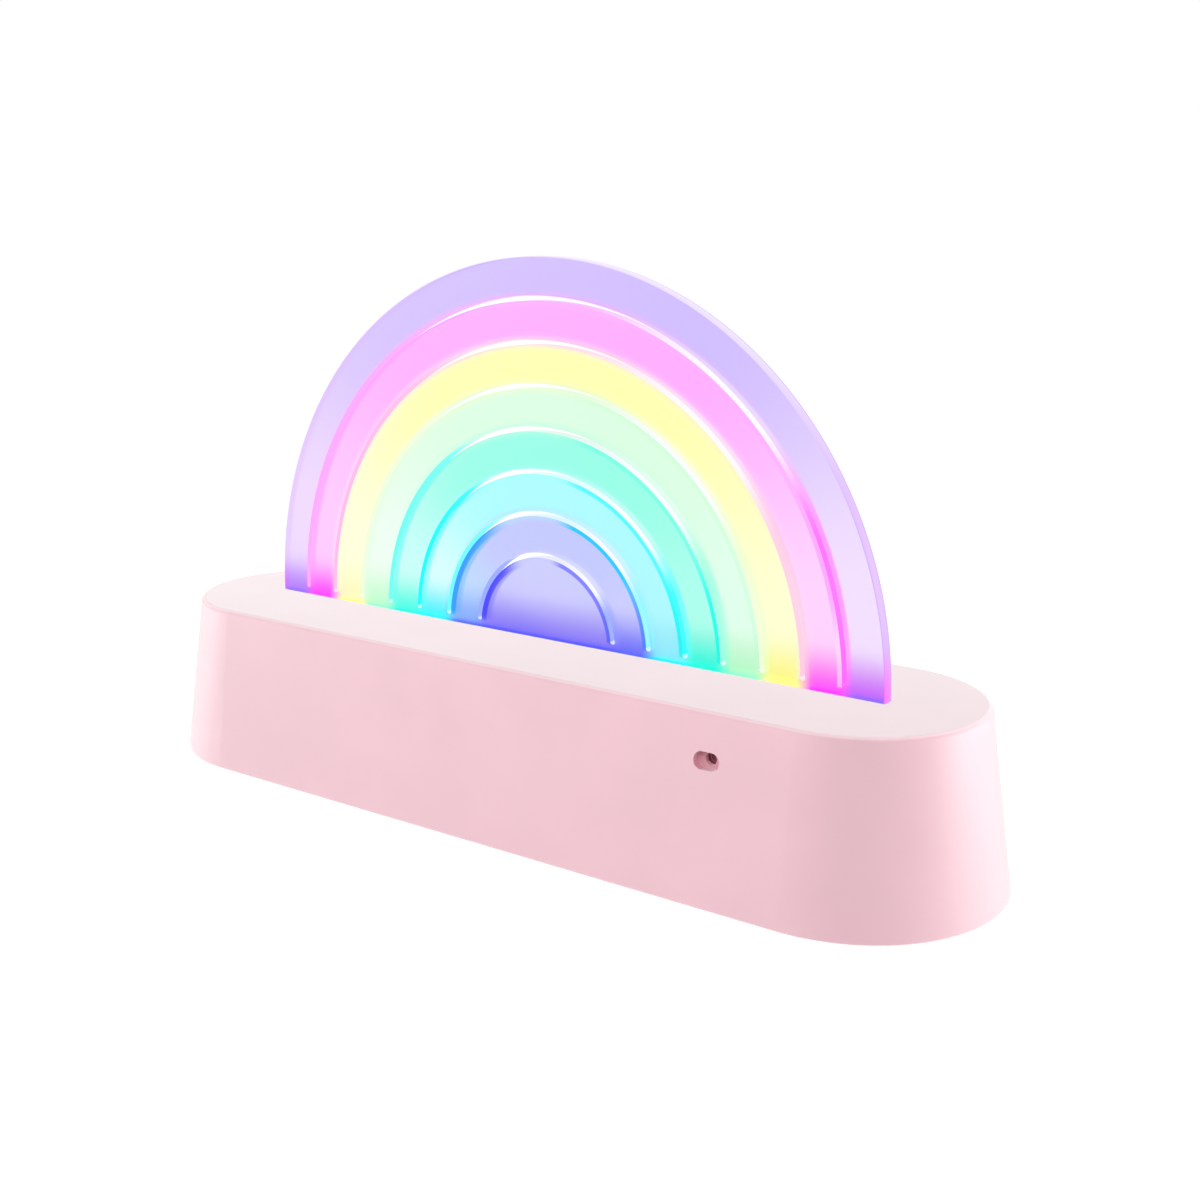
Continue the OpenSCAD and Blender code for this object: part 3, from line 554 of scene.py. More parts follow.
@dataclass(frozen=True)
class PaintedPortShade:
    """Where the sound port's recess is sunk in the drafted front, and the painted shade on its walls."""

    middle: Point = (70.6, -32.1037, 35.5)
    draft: float = 0.14192
    half_l: float = 3.6
    half_h: float = 2.3
    sunk: float = 2.2
    lip: Span = (0.05, 0.5)
    floor_edge: float = 0.1
    floor_share: float = 0.5
    hole_l: float = 1.5
    # The colour of the painted shade on the recess walls.
    colour: Colour = (0.66, 0.25, 0.33)

    def inside(self, recipe: Recipe) -> Signal:
        """Gives how strongly the painted shade shows: all of it on the walls, less on the recess's floor.

        Args:
            recipe: The base's material.

        Returns:
            A number from 0 to 1.
        """
        x, y, z = self.middle
        depth = recipe.y - y - self.draft * (recipe.z - z)
        within = (abs(recipe.x - x) < self.half_l) * (abs(recipe.z - z) < self.half_h)
        on_floor = depth.fade(self.sunk - self.floor_edge, self.sunk)
        share = depth.fade(*self.lip) - self.floor_share * on_floor
        return within * (depth < self.sunk + self.hole_l) * share


@dataclass(frozen=True)
class TopWithPaintedLight:
    """The duller top of a moulding and its paler edge, both painted light, by how far the surface faces up.
    """

    colour: Colour
    edge: Colour
    flat_slope: Span = (0.96, 0.998)
    edge_slope: Span = (0.55, 0.9)
    dull_slope: Span = (0.15, 0.3)
    top_rough: float = 0.4
    edge_rough: float = 0.25
    edge_coat_loss: float = 0.9


@dataclass(frozen=True)
class MouldedPlastic:
    """A moulded plastic with the fine grain of its mould, and painted light on its top and painted shade in
    its port.
    """

    name: str
    colour: Colour
    roughness: float = 0.45
    grain: float = 0.22
    depth: float = 0.006
    spread: float = 0.05
    gloss_l: float = 9.0
    patch: float = 0.96
    patch_l: float = 26.0
    patch_fade: Span = (0.3, 0.7)
    sheen: float = 0.0
    coat: float = 0.0
    # Painted light on the top and its edge, if it has them.
    top: TopWithPaintedLight | None = None
    # Painted shade in the sound port's recess, if it has one.
    port: PaintedPortShade | None = None

    def paint_top_light(self, recipe: Recipe, patches: Signal, links: dict[str, object]) -> None:
        """Paints the top and its edge lighter, as painted light, and takes gloss from them.

        Args:
            recipe: The material.
            patches: How light the plastic is, from 0 to 1.
            links: What feeds the shader so far, which this changes.
        """
        top, slope = self.top, recipe.slope()
        flat = slope.fade(*top.flat_slope)
        edge = slope.fade(*top.edge_slope) * (1 - flat)
        dull = slope.fade(*top.dull_slope) * (1 - flat)
        # Painted light: the top and its rounded edge are painted lighter than the sides.
        above = recipe.clouded(patches, top.colour, self.patch)
        links["Base_Color"] = recipe.layers(links["Base_Color"], (flat, above), (edge, top.edge))
        links["Roughness"] = links["Roughness"] + top.edge_rough * dull + top.top_rough * flat
        links["Coat_Weight"] = self.coat * (1 - top.edge_coat_loss * dull) * (1 - flat)

    def make(self) -> bpy.types.Material:
        """Builds the material, with the painted light of its top and the painted shade of its port if it has
        them.

        Returns:
            The material.
        """
        recipe = Recipe(
            self.name, IOR=1.5, Sheen_Weight=self.sheen, Sheen_Roughness=0.5,
            Coat_Weight=self.coat, Coat_Roughness=0.3,
        )
        patches = recipe.noise(self.patch_l).fade(*self.patch_fade)
        links = {
            "Base_Color": recipe.clouded(patches, self.colour, self.patch),
            "Roughness": recipe.noise(self.gloss_l).about(self.roughness, self.spread),
            "Normal": recipe.bump(recipe.noise(self.grain, detail=3.0), self.depth),
        }
        if self.top:
            self.paint_top_light(recipe, patches, links)
        # Painted shade: the sound port's recess walls are painted a deeper pink.
        if self.port:
            deeper = self.port.inside(recipe)
            links["Base_Color"] = recipe.mix(deeper, links["Base_Color"], self.port.colour)
        return recipe.paint(**links)


@dataclass(frozen=True)
class Rubber:
    """A matt rubber with a little dust on it."""

    name: str
    colour: Colour
    dust: float = 0.12
    dust_l: float = 1.6
    dust_fade: Span = (0.52, 0.8)
    dust_colour: Colour = rgb(150, 146, 140)
    roughness: float = 0.8
    spread: float = 0.16
    grain: float = 0.3
    depth: float = 0.02

    def make(self) -> bpy.types.Material:
        """Builds the material.

        Returns:
            The material.
        """
        recipe = Recipe(self.name, IOR=1.45)
        dusty = recipe.noise(self.dust_l, detail=4.0).fade(*self.dust_fade) * self.dust
        relief = recipe.noise(self.grain, detail=3.0)
        return recipe.paint(
            Base_Color=recipe.mix(dusty, self.colour, self.dust_colour),
            Roughness=relief.about(self.roughness, self.spread), Normal=recipe.bump(relief, self.depth),
        )


@dataclass(frozen=True)
class PlatedMetal:
    """A rolled and plated metal, with fine marks along one axis."""

    name: str
    colour: Colour
    roughness: float = 0.3
    spread: float = 0.14
    shade: float = 0.86
    patch_l: float = 2.4
    mark_l: float = 0.9
    along: Point = (1.0, 14.0, 14.0)
    depth: float = 0.004

    def make(self) -> bpy.types.Material:
        """Builds the material.

        Returns:
            The material.
        """
        recipe = Recipe(self.name, Metallic=1.0)
        marks = recipe.noise(self.mark_l, stretch=self.along)
        return recipe.paint(
            Base_Color=recipe.clouded(recipe.noise(self.patch_l), self.colour, self.shade),
            Roughness=marks.about(self.roughness, self.spread), Normal=recipe.bump(marks, self.depth),
        )


@dataclass(frozen=True)
class CableSheath:
    """The soft plastic cover of a lead."""

    name: str
    colour: Colour
    roughness: float = 0.4
    spread: float = 0.12
    gloss_l: float = 0.7
    shade: float = 0.84
    patch_l: float = 1.1
    patch_fade: Span = (0.75, 0.35)
    depth: float = 0.02

    def make(self) -> bpy.types.Material:
        """Builds the material.

        Returns:
            The material.
        """
        recipe = Recipe(self.name, IOR=1.52)
        clouds = recipe.noise(self.patch_l)
        return recipe.paint(
            Base_Color=recipe.clouded(clouds.fade(*self.patch_fade), self.colour, self.shade),
            Roughness=recipe.noise(self.gloss_l).about(self.roughness, self.spread),
            Normal=recipe.bump(clouds, self.depth),
        )


@dataclass(frozen=True)
class BoardLaminate:
    """A circuit board: solder mask over its tracks, with tinned rings round through holes painted dark as
    painted shade.
    """

    name: str
    mask: Colour
    track: Colour
    holes: float = 1.0
    track_l: float = 7.3
    track_step: float = 2.1
    track_w: float = 0.16
    holes_per_mm: float = 0.16
    hole_r: float = 0.26
    ring_r: float = 0.55
    bare_r: float = 0.9
    # Painted shade: the through holes are not cut but painted dark.
    hole_shade_colour: Colour = rgb(24, 30, 26)
    ring_colour: Colour = rgb(196, 192, 180)
    roughness: float = 0.39
    spread: float = 0.1
    gloss_l: float = 3.0
    track_gloss: float = 0.06
    depth: float = 0.03

    def make(self) -> bpy.types.Material:
        """Builds the material.

        Returns:
            The material.
        """
        recipe = Recipe(self.name, IOR=1.5)
        flat = recipe.join(recipe.x, recipe.y, 0.0)
        jogs = {"offset": 0.37, "squash": 1.6, "squash_frequency": 3}
        brick = recipe.node("ShaderNodeTexBrick", jogs, {
            "Vector": flat, "Scale": 1.0, "Mortar Smooth": 0.0, "Mortar Size": self.track_w,
            "Brick Width": self.track_l, "Row Height": self.track_step,
        })
        lines = Signal(recipe, brick.outputs["Fac"])
        cells = {"Vector": flat, "Scale": self.holes_per_mm, "Randomness": 1.0}
        spots = recipe.node("ShaderNodeTexVoronoi", {"voronoi_dimensions": "2D"}, cells)
        near = Signal(recipe, spots.outputs["Distance"]) / self.holes_per_mm
        ring = (near < self.ring_r) * (near > self.hole_r) * self.holes
        tone = recipe.layers(
            self.mask, (lines * (near > self.bare_r), self.track), (ring, self.ring_colour),
            ((near < self.hole_r) * self.holes, self.hole_shade_colour),
        )
        rough = recipe.noise(self.gloss_l).about(self.roughness, self.spread) - self.track_gloss * lines
        relief = recipe.bump(lines + ring, self.depth)
        return recipe.paint(Base_Color=tone, Roughness=rough, Metallic=ring, Normal=relief)


@dataclass(frozen=True)
class TwoPart:
    """A small part of a body and a metal that one place on it tells apart."""

    name: str
    body: Colour
    metal: Colour
    body_rough: float = 0.5
    metal_rough: float = 0.3
    spread: float = 0.1
    soil: float = 0.25
    soil_shade: float = 0.6
    soil_l: float = 0.8
    grain: float = 0.2
    depth: float = 0.006

    def make(self, where: Callable[[Recipe], Signal]) -> bpy.types.Material:
        """Builds the material.

        Args:
            where: Gives 1 where the metal is, from the recipe.

        Returns:
            The material.
        """
        recipe = Recipe(self.name, IOR=1.5)
        bare = where(recipe)
        clouds = recipe.noise(self.soil_l, detail=3.0)
        soil = scaled(self.body, self.soil_shade)
        tone = recipe.layers(self.body, (bare, self.metal), (clouds * self.soil, soil))
        rough = clouds.about(self.body_rough, self.spread) + (self.metal_rough - self.body_rough) * bare
        relief = recipe.bump(recipe.noise(self.grain), self.depth)
        return recipe.paint(Base_Color=tone, Roughness=rough, Metallic=bare, Normal=relief)


class BandPart(Enum):
    """The places on a colour band that have a colour of their own, by its fields' names."""

    TOP = "top"
    LEFT = "left"
    RIGHT = "right"
    FOOT_LEFT = "foot_left"
    FOOT_RIGHT = "foot_right"
    LINE = "line"


class SlotPart(Enum):
    """The places on a slot that have a colour of their own, by its fields' names."""

    INNER_LEFT = "inner_left"
    OUTER_LEFT = "outer_left"
    TOP = "top"
    FOOT = "foot"
    LINE = "line"
    LINE_FOOT = "line_foot"


@dataclass(frozen=True)
class Band:
    """One colour band: at the top, at both sides, at both feet, and where it meets the base."""

    top: Colour
    left: Colour
    right: Colour
    foot_left: Colour
    foot_right: Colour
    line: Colour


@dataclass(frozen=True)
class Slot:
    """The colours of one slot.

    They are its two walls at the left, both at the top and at the right foot, and the line beside it at the
    right, which has a colour of its own at the foot. The pale colours at the top are a painted highlight.
    """

    inner_left: Colour
    outer_left: Colour
    top: Colour
    foot: Colour
    line: Colour
    line_foot: Colour


BANDS = {
    "half disc": Band(
        rgb(203, 203, 253), rgb(198, 197, 253), rgb(200, 200, 252),
        rgb(135, 122, 250), rgb(140, 126, 250), rgb(75, 80, 236),
    ),
    "periwinkle": Band(
        rgb(193, 198, 254), rgb(190, 220, 254), rgb(203, 206, 254),
        rgb(130, 176, 254), rgb(112, 116, 254), rgb(80, 98, 245),
    ),
    "cyan": Band(
        rgb(170, 246, 255), rgb(214, 252, 255), rgb(173, 246, 255),
        rgb(40, 246, 254), rgb(140, 240, 254), rgb(0, 228, 246),
    ),
    "turquoise": Band(
        rgb(148, 254, 226), rgb(196, 254, 243), rgb(172, 254, 234),
        rgb(55, 254, 232), rgb(0, 252, 225), rgb(0, 246, 208),
    ),
    "green": Band(
        rgb(215, 253, 222), rgb(232, 255, 236), rgb(222, 254, 233),
        rgb(190, 254, 208), rgb(185, 254, 205), rgb(140, 250, 195),
    ),
    "yellow": Band(
        rgb(254, 254, 174), rgb(254, 254, 213), rgb(251, 255, 208),
        rgb(253, 250, 192), rgb(254, 254, 140), rgb(255, 246, 135),
    ),
    "pink": Band(
        rgb(255, 168, 255), rgb(254, 196, 253), rgb(255, 209, 250),
        rgb(255, 60, 250), rgb(255, 85, 250), rgb(255, 45, 238),
    ),
    "lavender": Band(
        rgb(203, 184, 254), rgb(232, 210, 255), rgb(240, 222, 254),
        rgb(180, 124, 254), rgb(206, 105, 255), rgb(132, 100, 252),
    ),
}
SLOTS = [
    Slot(
        rgb(62, 58, 252), rgb(150, 168, 252), rgb(222, 224, 240),
        rgb(146, 164, 253), rgb(90, 92, 250), rgb(74, 88, 250),
    ),
    Slot(
        rgb(0, 165, 254), rgb(108, 247, 253), rgb(206, 236, 244),
        rgb(138, 236, 252), rgb(0, 200, 252), rgb(60, 134, 252),
    ),
    Slot(
        rgb(60, 248, 252), rgb(10, 252, 250), rgb(206, 240, 238),
        rgb(15, 250, 245), rgb(45, 244, 252), rgb(0, 248, 246),
    ),
    Slot(
        rgb(80, 250, 240), rgb(110, 252, 236), rgb(214, 232, 222),
        rgb(145, 253, 213), rgb(105, 253, 227), rgb(0, 254, 236),
    ),
    Slot(
        rgb(225, 253, 232), rgb(232, 253, 214), rgb(214, 238, 202),
        rgb(225, 253, 203), rgb(205, 249, 213), rgb(202, 252, 217),
    ),
    Slot(
        rgb(253, 245, 222), rgb(254, 184, 226), rgb(244, 204, 222),
        rgb(254, 193, 215), rgb(249, 238, 196), rgb(248, 250, 210),
    ),
    Slot(
        rgb(255, 168, 254), rgb(243, 166, 254), rgb(232, 170, 238),
        rgb(254, 92, 253), rgb(251, 172, 248), rgb(254, 146, 252),
    ),
]


@dataclass(frozen=True)
class Rainbow:
    """The rule that the clear sheet, its finishes and the lights under it share."""

    radius: float = 100.0
    inner_r: float = 22.0
    count: int = 7
    slot_w: float = 1.3
    z_top: float = 46.8

    @property
    def pitch(self) -> float:
        """Gives the distance from one slot to the next."""
        return (self.radius - self.inner_r) / self.count


@dataclass(frozen=True)
class SheetFinish:
    """What the finishes of the clear sheet share.

    A span named turn goes by the place along the rainbow, from -1 at its left foot to 1 at its right foot.
    One named rise goes from 0 at both feet to 1 at the top, and one named up goes by the height over the
    base top in millimetres.
    """

    rule: Rainbow = Rainbow()

    def middle(self, recipe: Recipe) -> tuple[Signal, Signal]:
        """Gives the height over the base top and the distance from the rainbow's middle, in millimetres."""
        up = recipe.z - self.rule.z_top
        return up, (recipe.x * recipe.x + up * up).root()

    def by_slot(self, recipe: Recipe, reach: Signal, part: SlotPart) -> bpy.types.NodeSocket:
        """Gives each slot, and what lies half a pitch to its either side, one of its colours.

        Args:
            recipe: The material.
            reach: The distance from the rainbow's middle.
            part: Which of a slot's colours is meant.

        Returns:
            The colour.
        """
        stops = []
        for k, slot in enumerate(SLOTS):
            start = max(0.0, self.rule.inner_r + (k - 0.5) * self.rule.pitch)
            stops.append((start / self.rule.radius, getattr(slot, part.value)))
        return recipe.ramp(reach / self.rule.radius, stops, steps=True)

    @staticmethod
    def light_up(recipe: Recipe, colour: bpy.types.NodeSocket, dark: float) -> bpy.types.Material:
        """Makes a cut edge shine in its colour, over a body that takes little of the room's light.

        Args:
            recipe: The material.
            colour: The edge's colour.
            dark: How much of it the body lacks.

        Returns:
            The material.
        """
        return recipe.paint(Base_Color=recipe.mix(dark, colour, BLACK), Emission_Color=colour)


@dataclass(frozen=True)
class EdgeLine:
    """A deeper line just inside the innermost slots, which the light in their cut edge draws.

    It starts, and is full, so many millimetres short of the slot, over a stretch of the rainbow.
    """

    short: Span
    turn: Span
    slots: int
    share: float


@dataclass(frozen=True)
class ClearFace(SheetFinish):
    """The sheet's clear faces, which glow in the colour of each band and let the room show through."""

    body_share: float = 0.6
    glow: float = 0.24
    foot_glow: float = 0.22
    veil_share: float = 0.68
    seam_share: float = 0.3
    soft: float = 0.2
    side_turn: Span = (-0.5, 0.5)
    top_rise: Span = (0.25, 0.9)
    foot_up: Span = (13.0, 0.0)
    seam_up: Span = (1.3, 0.3)
    veil_up: Span = (24.0, 4.0)
    slot_up: Span = (1.6, 2.4)
    right_line: EdgeLine = EdgeLine((1.4, 1.0), (0.08, 0.3), 7, 1.0)
    left_line: EdgeLine = EdgeLine((1.9, 1.5), (-0.35, -0.7), 2, 0.9)
    line_foot_turn: Span = (0.8, 0.95)
    # Painted highlight: the line at the outermost slots turns pale low down.
    line_highlight_reach: float = 0.8
    line_highlight_up: Span = (25.0, 8.0)
    line_highlight: Colour = rgb(250, 228, 252)

    def stops(self, part: BandPart) -> list[tuple[float, Colour]]:
        """Lists the ramp's stops from the middle outwards.

        Args:
            part: Which of a band's colours is meant.

        Returns:
            Two stops for each band, so that neighbours blend only near their edge.
        """
        rule = self.rule
        slots = [rule.inner_r + k * rule.pitch + rule.slot_w / 2 for k in range(rule.count)]
        edges = [0.0, *slots, rule.radius]
        margin = self.soft * rule.pitch
        out = []
        for low, high, band in zip(edges, edges[1:], BANDS.values()):
            colour = getattr(band, part.value)
            out += [((low + margin) / rule.radius, colour), ((high - margin) / rule.radius, colour)]
        return out

    def beside(self, line: EdgeLine, up: Signal, reach: Signal, turn: Signal) -> Signal:
        """Gives how strongly a line beside the slots shows.

        Args:
            line: The line.
            up: The height over the base top.
            reach: The distance from the rainbow's middle.
            turn: The place along the rainbow.

        Returns:
            A number from 0 to 1.
        """
        pitch, first = self.rule.pitch, self.rule.inner_r
        within = (reach - first) % pitch
        start, full = line.short
        shown = within.fade(pitch - start, pitch - full) * turn.fade(*line.turn) * up.fade(*self.slot_up)
        last = first + (line.slots - 0.5) * pitch
        return line.share * shown * (reach > first - 0.5 * pitch) * (reach < last)

    def line_colour(self, recipe: Recipe, up: Signal, reach: Signal, turn: Signal) -> bpy.types.NodeSocket:
        """Gives the colour of the line beside the slots at the right.

        Args:
            recipe: The material.
            up: The height over the base top.
            reach: The distance from the rainbow's middle.
            turn: The place along the rainbow.

        Returns:
            The colour, with a painted highlight that makes it pale low down at the outermost slots.
        """
        along, foot = (self.by_slot(recipe, reach, part) for part in (SlotPart.LINE, SlotPart.LINE_FOOT))
        pale = (reach > self.rule.radius * self.line_highlight_reach) * up.fade(*self.line_highlight_up)
        return recipe.layers(along, (turn.fade(*self.line_foot_turn), foot), (pale, self.line_highlight))

    def make(self) -> bpy.types.Material:
        """Builds the material, brightest and deepest where the lights stand under it.

        Returns:
            The material.
        """
        recipe = Recipe(
            "light_guide_clear", Transmission_Weight=1.0, IOR=1.4, Roughness=0.3, Emission_Strength=1.0
        )
        up, reach = self.middle(recipe)
        share, turn = reach / self.rule.radius, recipe.x / reach
        tones = {part: recipe.ramp(share, self.stops(part)) for part in BandPart}
        to_right, seam = turn.fade(*self.side_turn), up.fade(*self.seam_up)
        side = recipe.mix(to_right, tones[BandPart.LEFT], tones[BandPart.RIGHT])
        foot = recipe.mix(to_right, tones[BandPart.FOOT_LEFT], tones[BandPart.FOOT_RIGHT])
        at_right = self.beside(self.right_line, up, reach, turn)
        at_left = self.beside(self.left_line, up, reach, turn)
        colour = recipe.layers(
            side, ((up / reach).fade(*self.top_rise), tones[BandPart.TOP]), (up.fade(*self.foot_up), foot),
            (at_right, self.line_colour(recipe, up, reach, turn)),
            (at_left, self.by_slot(recipe, reach, SlotPart.INNER_LEFT)), (seam, tones[BandPart.LINE]),
        )
        veil = self.foot_glow * up.fade(*self.veil_up)
        dimmed = (1 - self.glow) - self.veil_share * veil - self.seam_share * seam
        body = recipe.mix((1 - self.body_share) + veil, colour, BLACK)
        return recipe.paint(Base_Color=body, Emission_Color=recipe.mix(dimmed, colour, BLACK))


@dataclass(frozen=True)
class SlotWall(SheetFinish):
    """One side of every slot: a cut that catches the light of its bands, with a painted highlight at top,
    right and tips.
    """

    inner: bool = False
    # Painted highlight: white to the right of each slot and at the tips of all but the outermost.
    white: Colour = (0.88, 0.88, 0.91)
    top_turn: Span = (-0.62, -0.3)
    highlight_turn: Span = (0.1, 0.6)
    foot_turn: Span = (0.72, 0.93)
    tip_highlight_up: Span = (2.9, 2.1)
    tip_highlight_reach: float = 0.85
    tip_highlight_share: float = 0.6
    dark: float = 0.94

    def make(self) -> bpy.types.Material:
        """Builds the material.

        Returns:
            The material.
        """
        name = "slot_wall_inner" if self.inner else "slot_wall_outer"
        recipe = Recipe(name, Roughness=0.5, Specular_IOR_Level=0.1, Emission_Strength=1.0)
        up, reach = self.middle(recipe)
        turn = recipe.x / reach
        parts = (SlotPart.INNER_LEFT if self.inner else SlotPart.OUTER_LEFT, SlotPart.TOP, SlotPart.FOOT)
        left, top, foot = (self.by_slot(recipe, reach, part) for part in parts)
        tip = up.fade(*self.tip_highlight_up) * (reach < self.rule.radius * self.tip_highlight_reach)
        # Painted highlight: the pale top, the white to the right and the white tips over the glowing wall.
        colour = recipe.layers(
            left, (turn.fade(*self.top_turn), top), (turn.fade(*self.highlight_turn), self.white),
            (turn.fade(*self.foot_turn), foot), (self.tip_highlight_share * tip, self.white),
        )
        return self.light_up(recipe, colour, self.dark)


@dataclass(frozen=True)
class OuterRim(SheetFinish):
    """The sheet's outer edge: painted light at the top and left, painted shade at the back, deeper sides,
    pink foot.
    """

    side: Colour = rgb(208, 174, 252)
    # Painted highlight along the top of the edge.
    top: Colour = rgb(228, 216, 250)
    foot: Colour = rgb(238, 118, 246)
    # Painted shade towards the back, and painted light at the left.
    back: Colour = rgb(196, 168, 246)
    left: Colour = rgb(228, 206, 254)
    left_front: Colour = rgb(212, 186, 252)
    top_rise: Span = (0.3, 0.9)
    foot_up: Span = (16.0, 1.0)
    back_shade_y: Span = (0.7, 1.4)
    back_shade_share: float = 0.8
    left_turn: Span = (-0.2, -0.6)
    left_up: Span = (2.0, 12.0)
    front_y: Span = (-1.0, -1.5)
    dark: float = 0.92

    def make(self) -> bpy.types.Material:
        """Builds the material.

        Returns:
            The material.
        """
        recipe = Recipe("light_guide_rim", Roughness=0.45, Specular_IOR_Level=0.1, Emission_Strength=1.0)
        up, reach = self.middle(recipe)
        to_left = (recipe.x / reach).fade(*self.left_turn) * up.fade(*self.left_up)
        # Painted light and shade: the lighter top and left, the darker back.
        colour = recipe.layers(
            self.side, ((up / reach).fade(*self.top_rise), self.top), (up.fade(*self.foot_up), self.foot),
            (self.back_shade_share * recipe.y.fade(*self.back_shade_y), self.back),
            (to_left, recipe.mix(recipe.y.fade(*self.front_y), self.left, self.left_front)),
        )
        return self.light_up(recipe, colour, self.dark)


@dataclass(frozen=True)
class Screw:
    """A thread-forming screw with a low round head and a cross recess, pointing up.

    A share is of the head's or shank's radius or of the head's height, and the rest is in millimetres.
    """

    head_d: float
    head_h: float
    shank_d: float
    length: float
    pitch: float = 1.0
    thread: float = 0.3
    flank: float = 2.4
    neck_l: float = 0.25
    plain_l: float = 0.35
    tip_l: float = 0.6
    edge_w: float = 0.05
    edge_h: float = 0.02
    flat_share: float = 0.3
    dome_share: float = 0.55
    side_share: float = 0.35
    taper_share: float = 0.72
    point_share: float = 0.3
    recess_share: Point = (0.58, 0.15, 0.62)
    recess_taper: Span = (0.45, 0.5)
    recess_over: float = 0.2
    crease: float = 38.0
    sides: int = 24
    rows: int = 7
    dome_rows: int = 6

    def outline(self) -> list[Point]:
        """Lists the rings of the screw.

        Returns:
            Each ring's radius, height and thread depth, from the head's middle to the tip.
        """
        head, shank = self.head_d / 2, self.shank_d / 2
        rings = [(head * self.flat_share, -self.head_h, 0.0)]
        for step in range(1, self.dome_rows + 1):
            angle = math.radians(90 * step / self.dome_rows)
            radius = head * (self.dome_share + (1 - self.dome_share) * math.sin(angle))
            high = self.head_h * (self.side_share + (1 - self.side_share) * math.cos(angle))
            rings.append((radius, -high, 0.0))
        rings += [(head, -self.edge_h, 0.0), (head - self.edge_w, 0.0, 0.0)]
        rings += [(shank, 0.0, 0.0), (shank, self.neck_l, 0.0)]
        threaded = self.length - self.plain_l - self.tip_l
        count = int(threaded / self.pitch * self.rows)
        for step in range(count + 1):
            depth = self.thread * min(1.0, step / self.rows)
            rings.append((shank, self.plain_l + threaded * step / count, depth))
        rings.append((shank * self.taper_share, self.length - self.tip_l / 2, 0.0))
        rings.append((shank * self.point_share, self.length, 0.0))
        return rings

    def template(self, name: str) -> bpy.types.Object:
        """Builds one screw with its seat at the origin.

        Args:
            name: The shape's name.

        Returns:
            A working shape that the jig copies.
        """
        points, faces = [], []
        rings, sides = self.outline(), self.sides
        for radius, z, depth in rings:
            for side in range(sides):
                turn = side / sides
                angle = 2 * math.pi * turn
                phase = (z / self.pitch - turn) % 1.0
                r = radius - depth * min(1.0, self.flank * abs(phase - 0.5))
                points.append((r * math.cos(angle), r * math.sin(angle), z))
        for ring in range(len(rings) - 1):
            for side in range(sides):
                a, b = ring * sides + side, ring * sides + (side + 1) % sides
                faces.append((a, b, b + sides, a + sides))
        faces.append(tuple(reversed(range(sides))))
        faces.append(tuple(range((len(rings) - 1) * sides, len(rings) * sides)))
        screw = piece_of(mesh_of(name, points, faces))
        self.cut_recess(screw)
        soften(screw.data, self.crease)
        return screw

    def cut_recess(self, screw: bpy.types.Object) -> None:
        """Cuts a tapered cross into the head.

        Args:
            screw: The screw's working shape.
        """
        share_l, share_w, share_h = self.recess_share
        taper_l, taper_w = self.recess_taper
        half, narrow = self.head_d / 2 * share_l, self.head_d / 2 * share_w
        mouth = (half, narrow, -self.head_h - self.recess_over)
        bottom = (half * taper_l, narrow * taper_w, self.head_h * (share_h - 1))
        corners = ((-1, -1), (1, -1), (1, 1), (-1, 1))
        faces = [(3, 2, 1, 0), (4, 5, 6, 7)] + [(k, (k + 1) % 4, (k + 1) % 4 + 4, k + 4) for k in range(4)]
        for turned in (False, True):
            points = [(sx * a, sy * b, z) for a, b, z in (mouth, bottom) for sx, sy in corners]
            if turned:
                points = [(-y, x, z) for x, y, z in points]
            cutter = piece_of(mesh_of("recess", points, faces))
            modifier = screw.modifiers.new("Recess", "BOOLEAN")
            modifier.operation = "DIFFERENCE"
            modifier.object = cutter
            modifier.solver = "EXACT"
            settle(screw)
            discard(cutter)


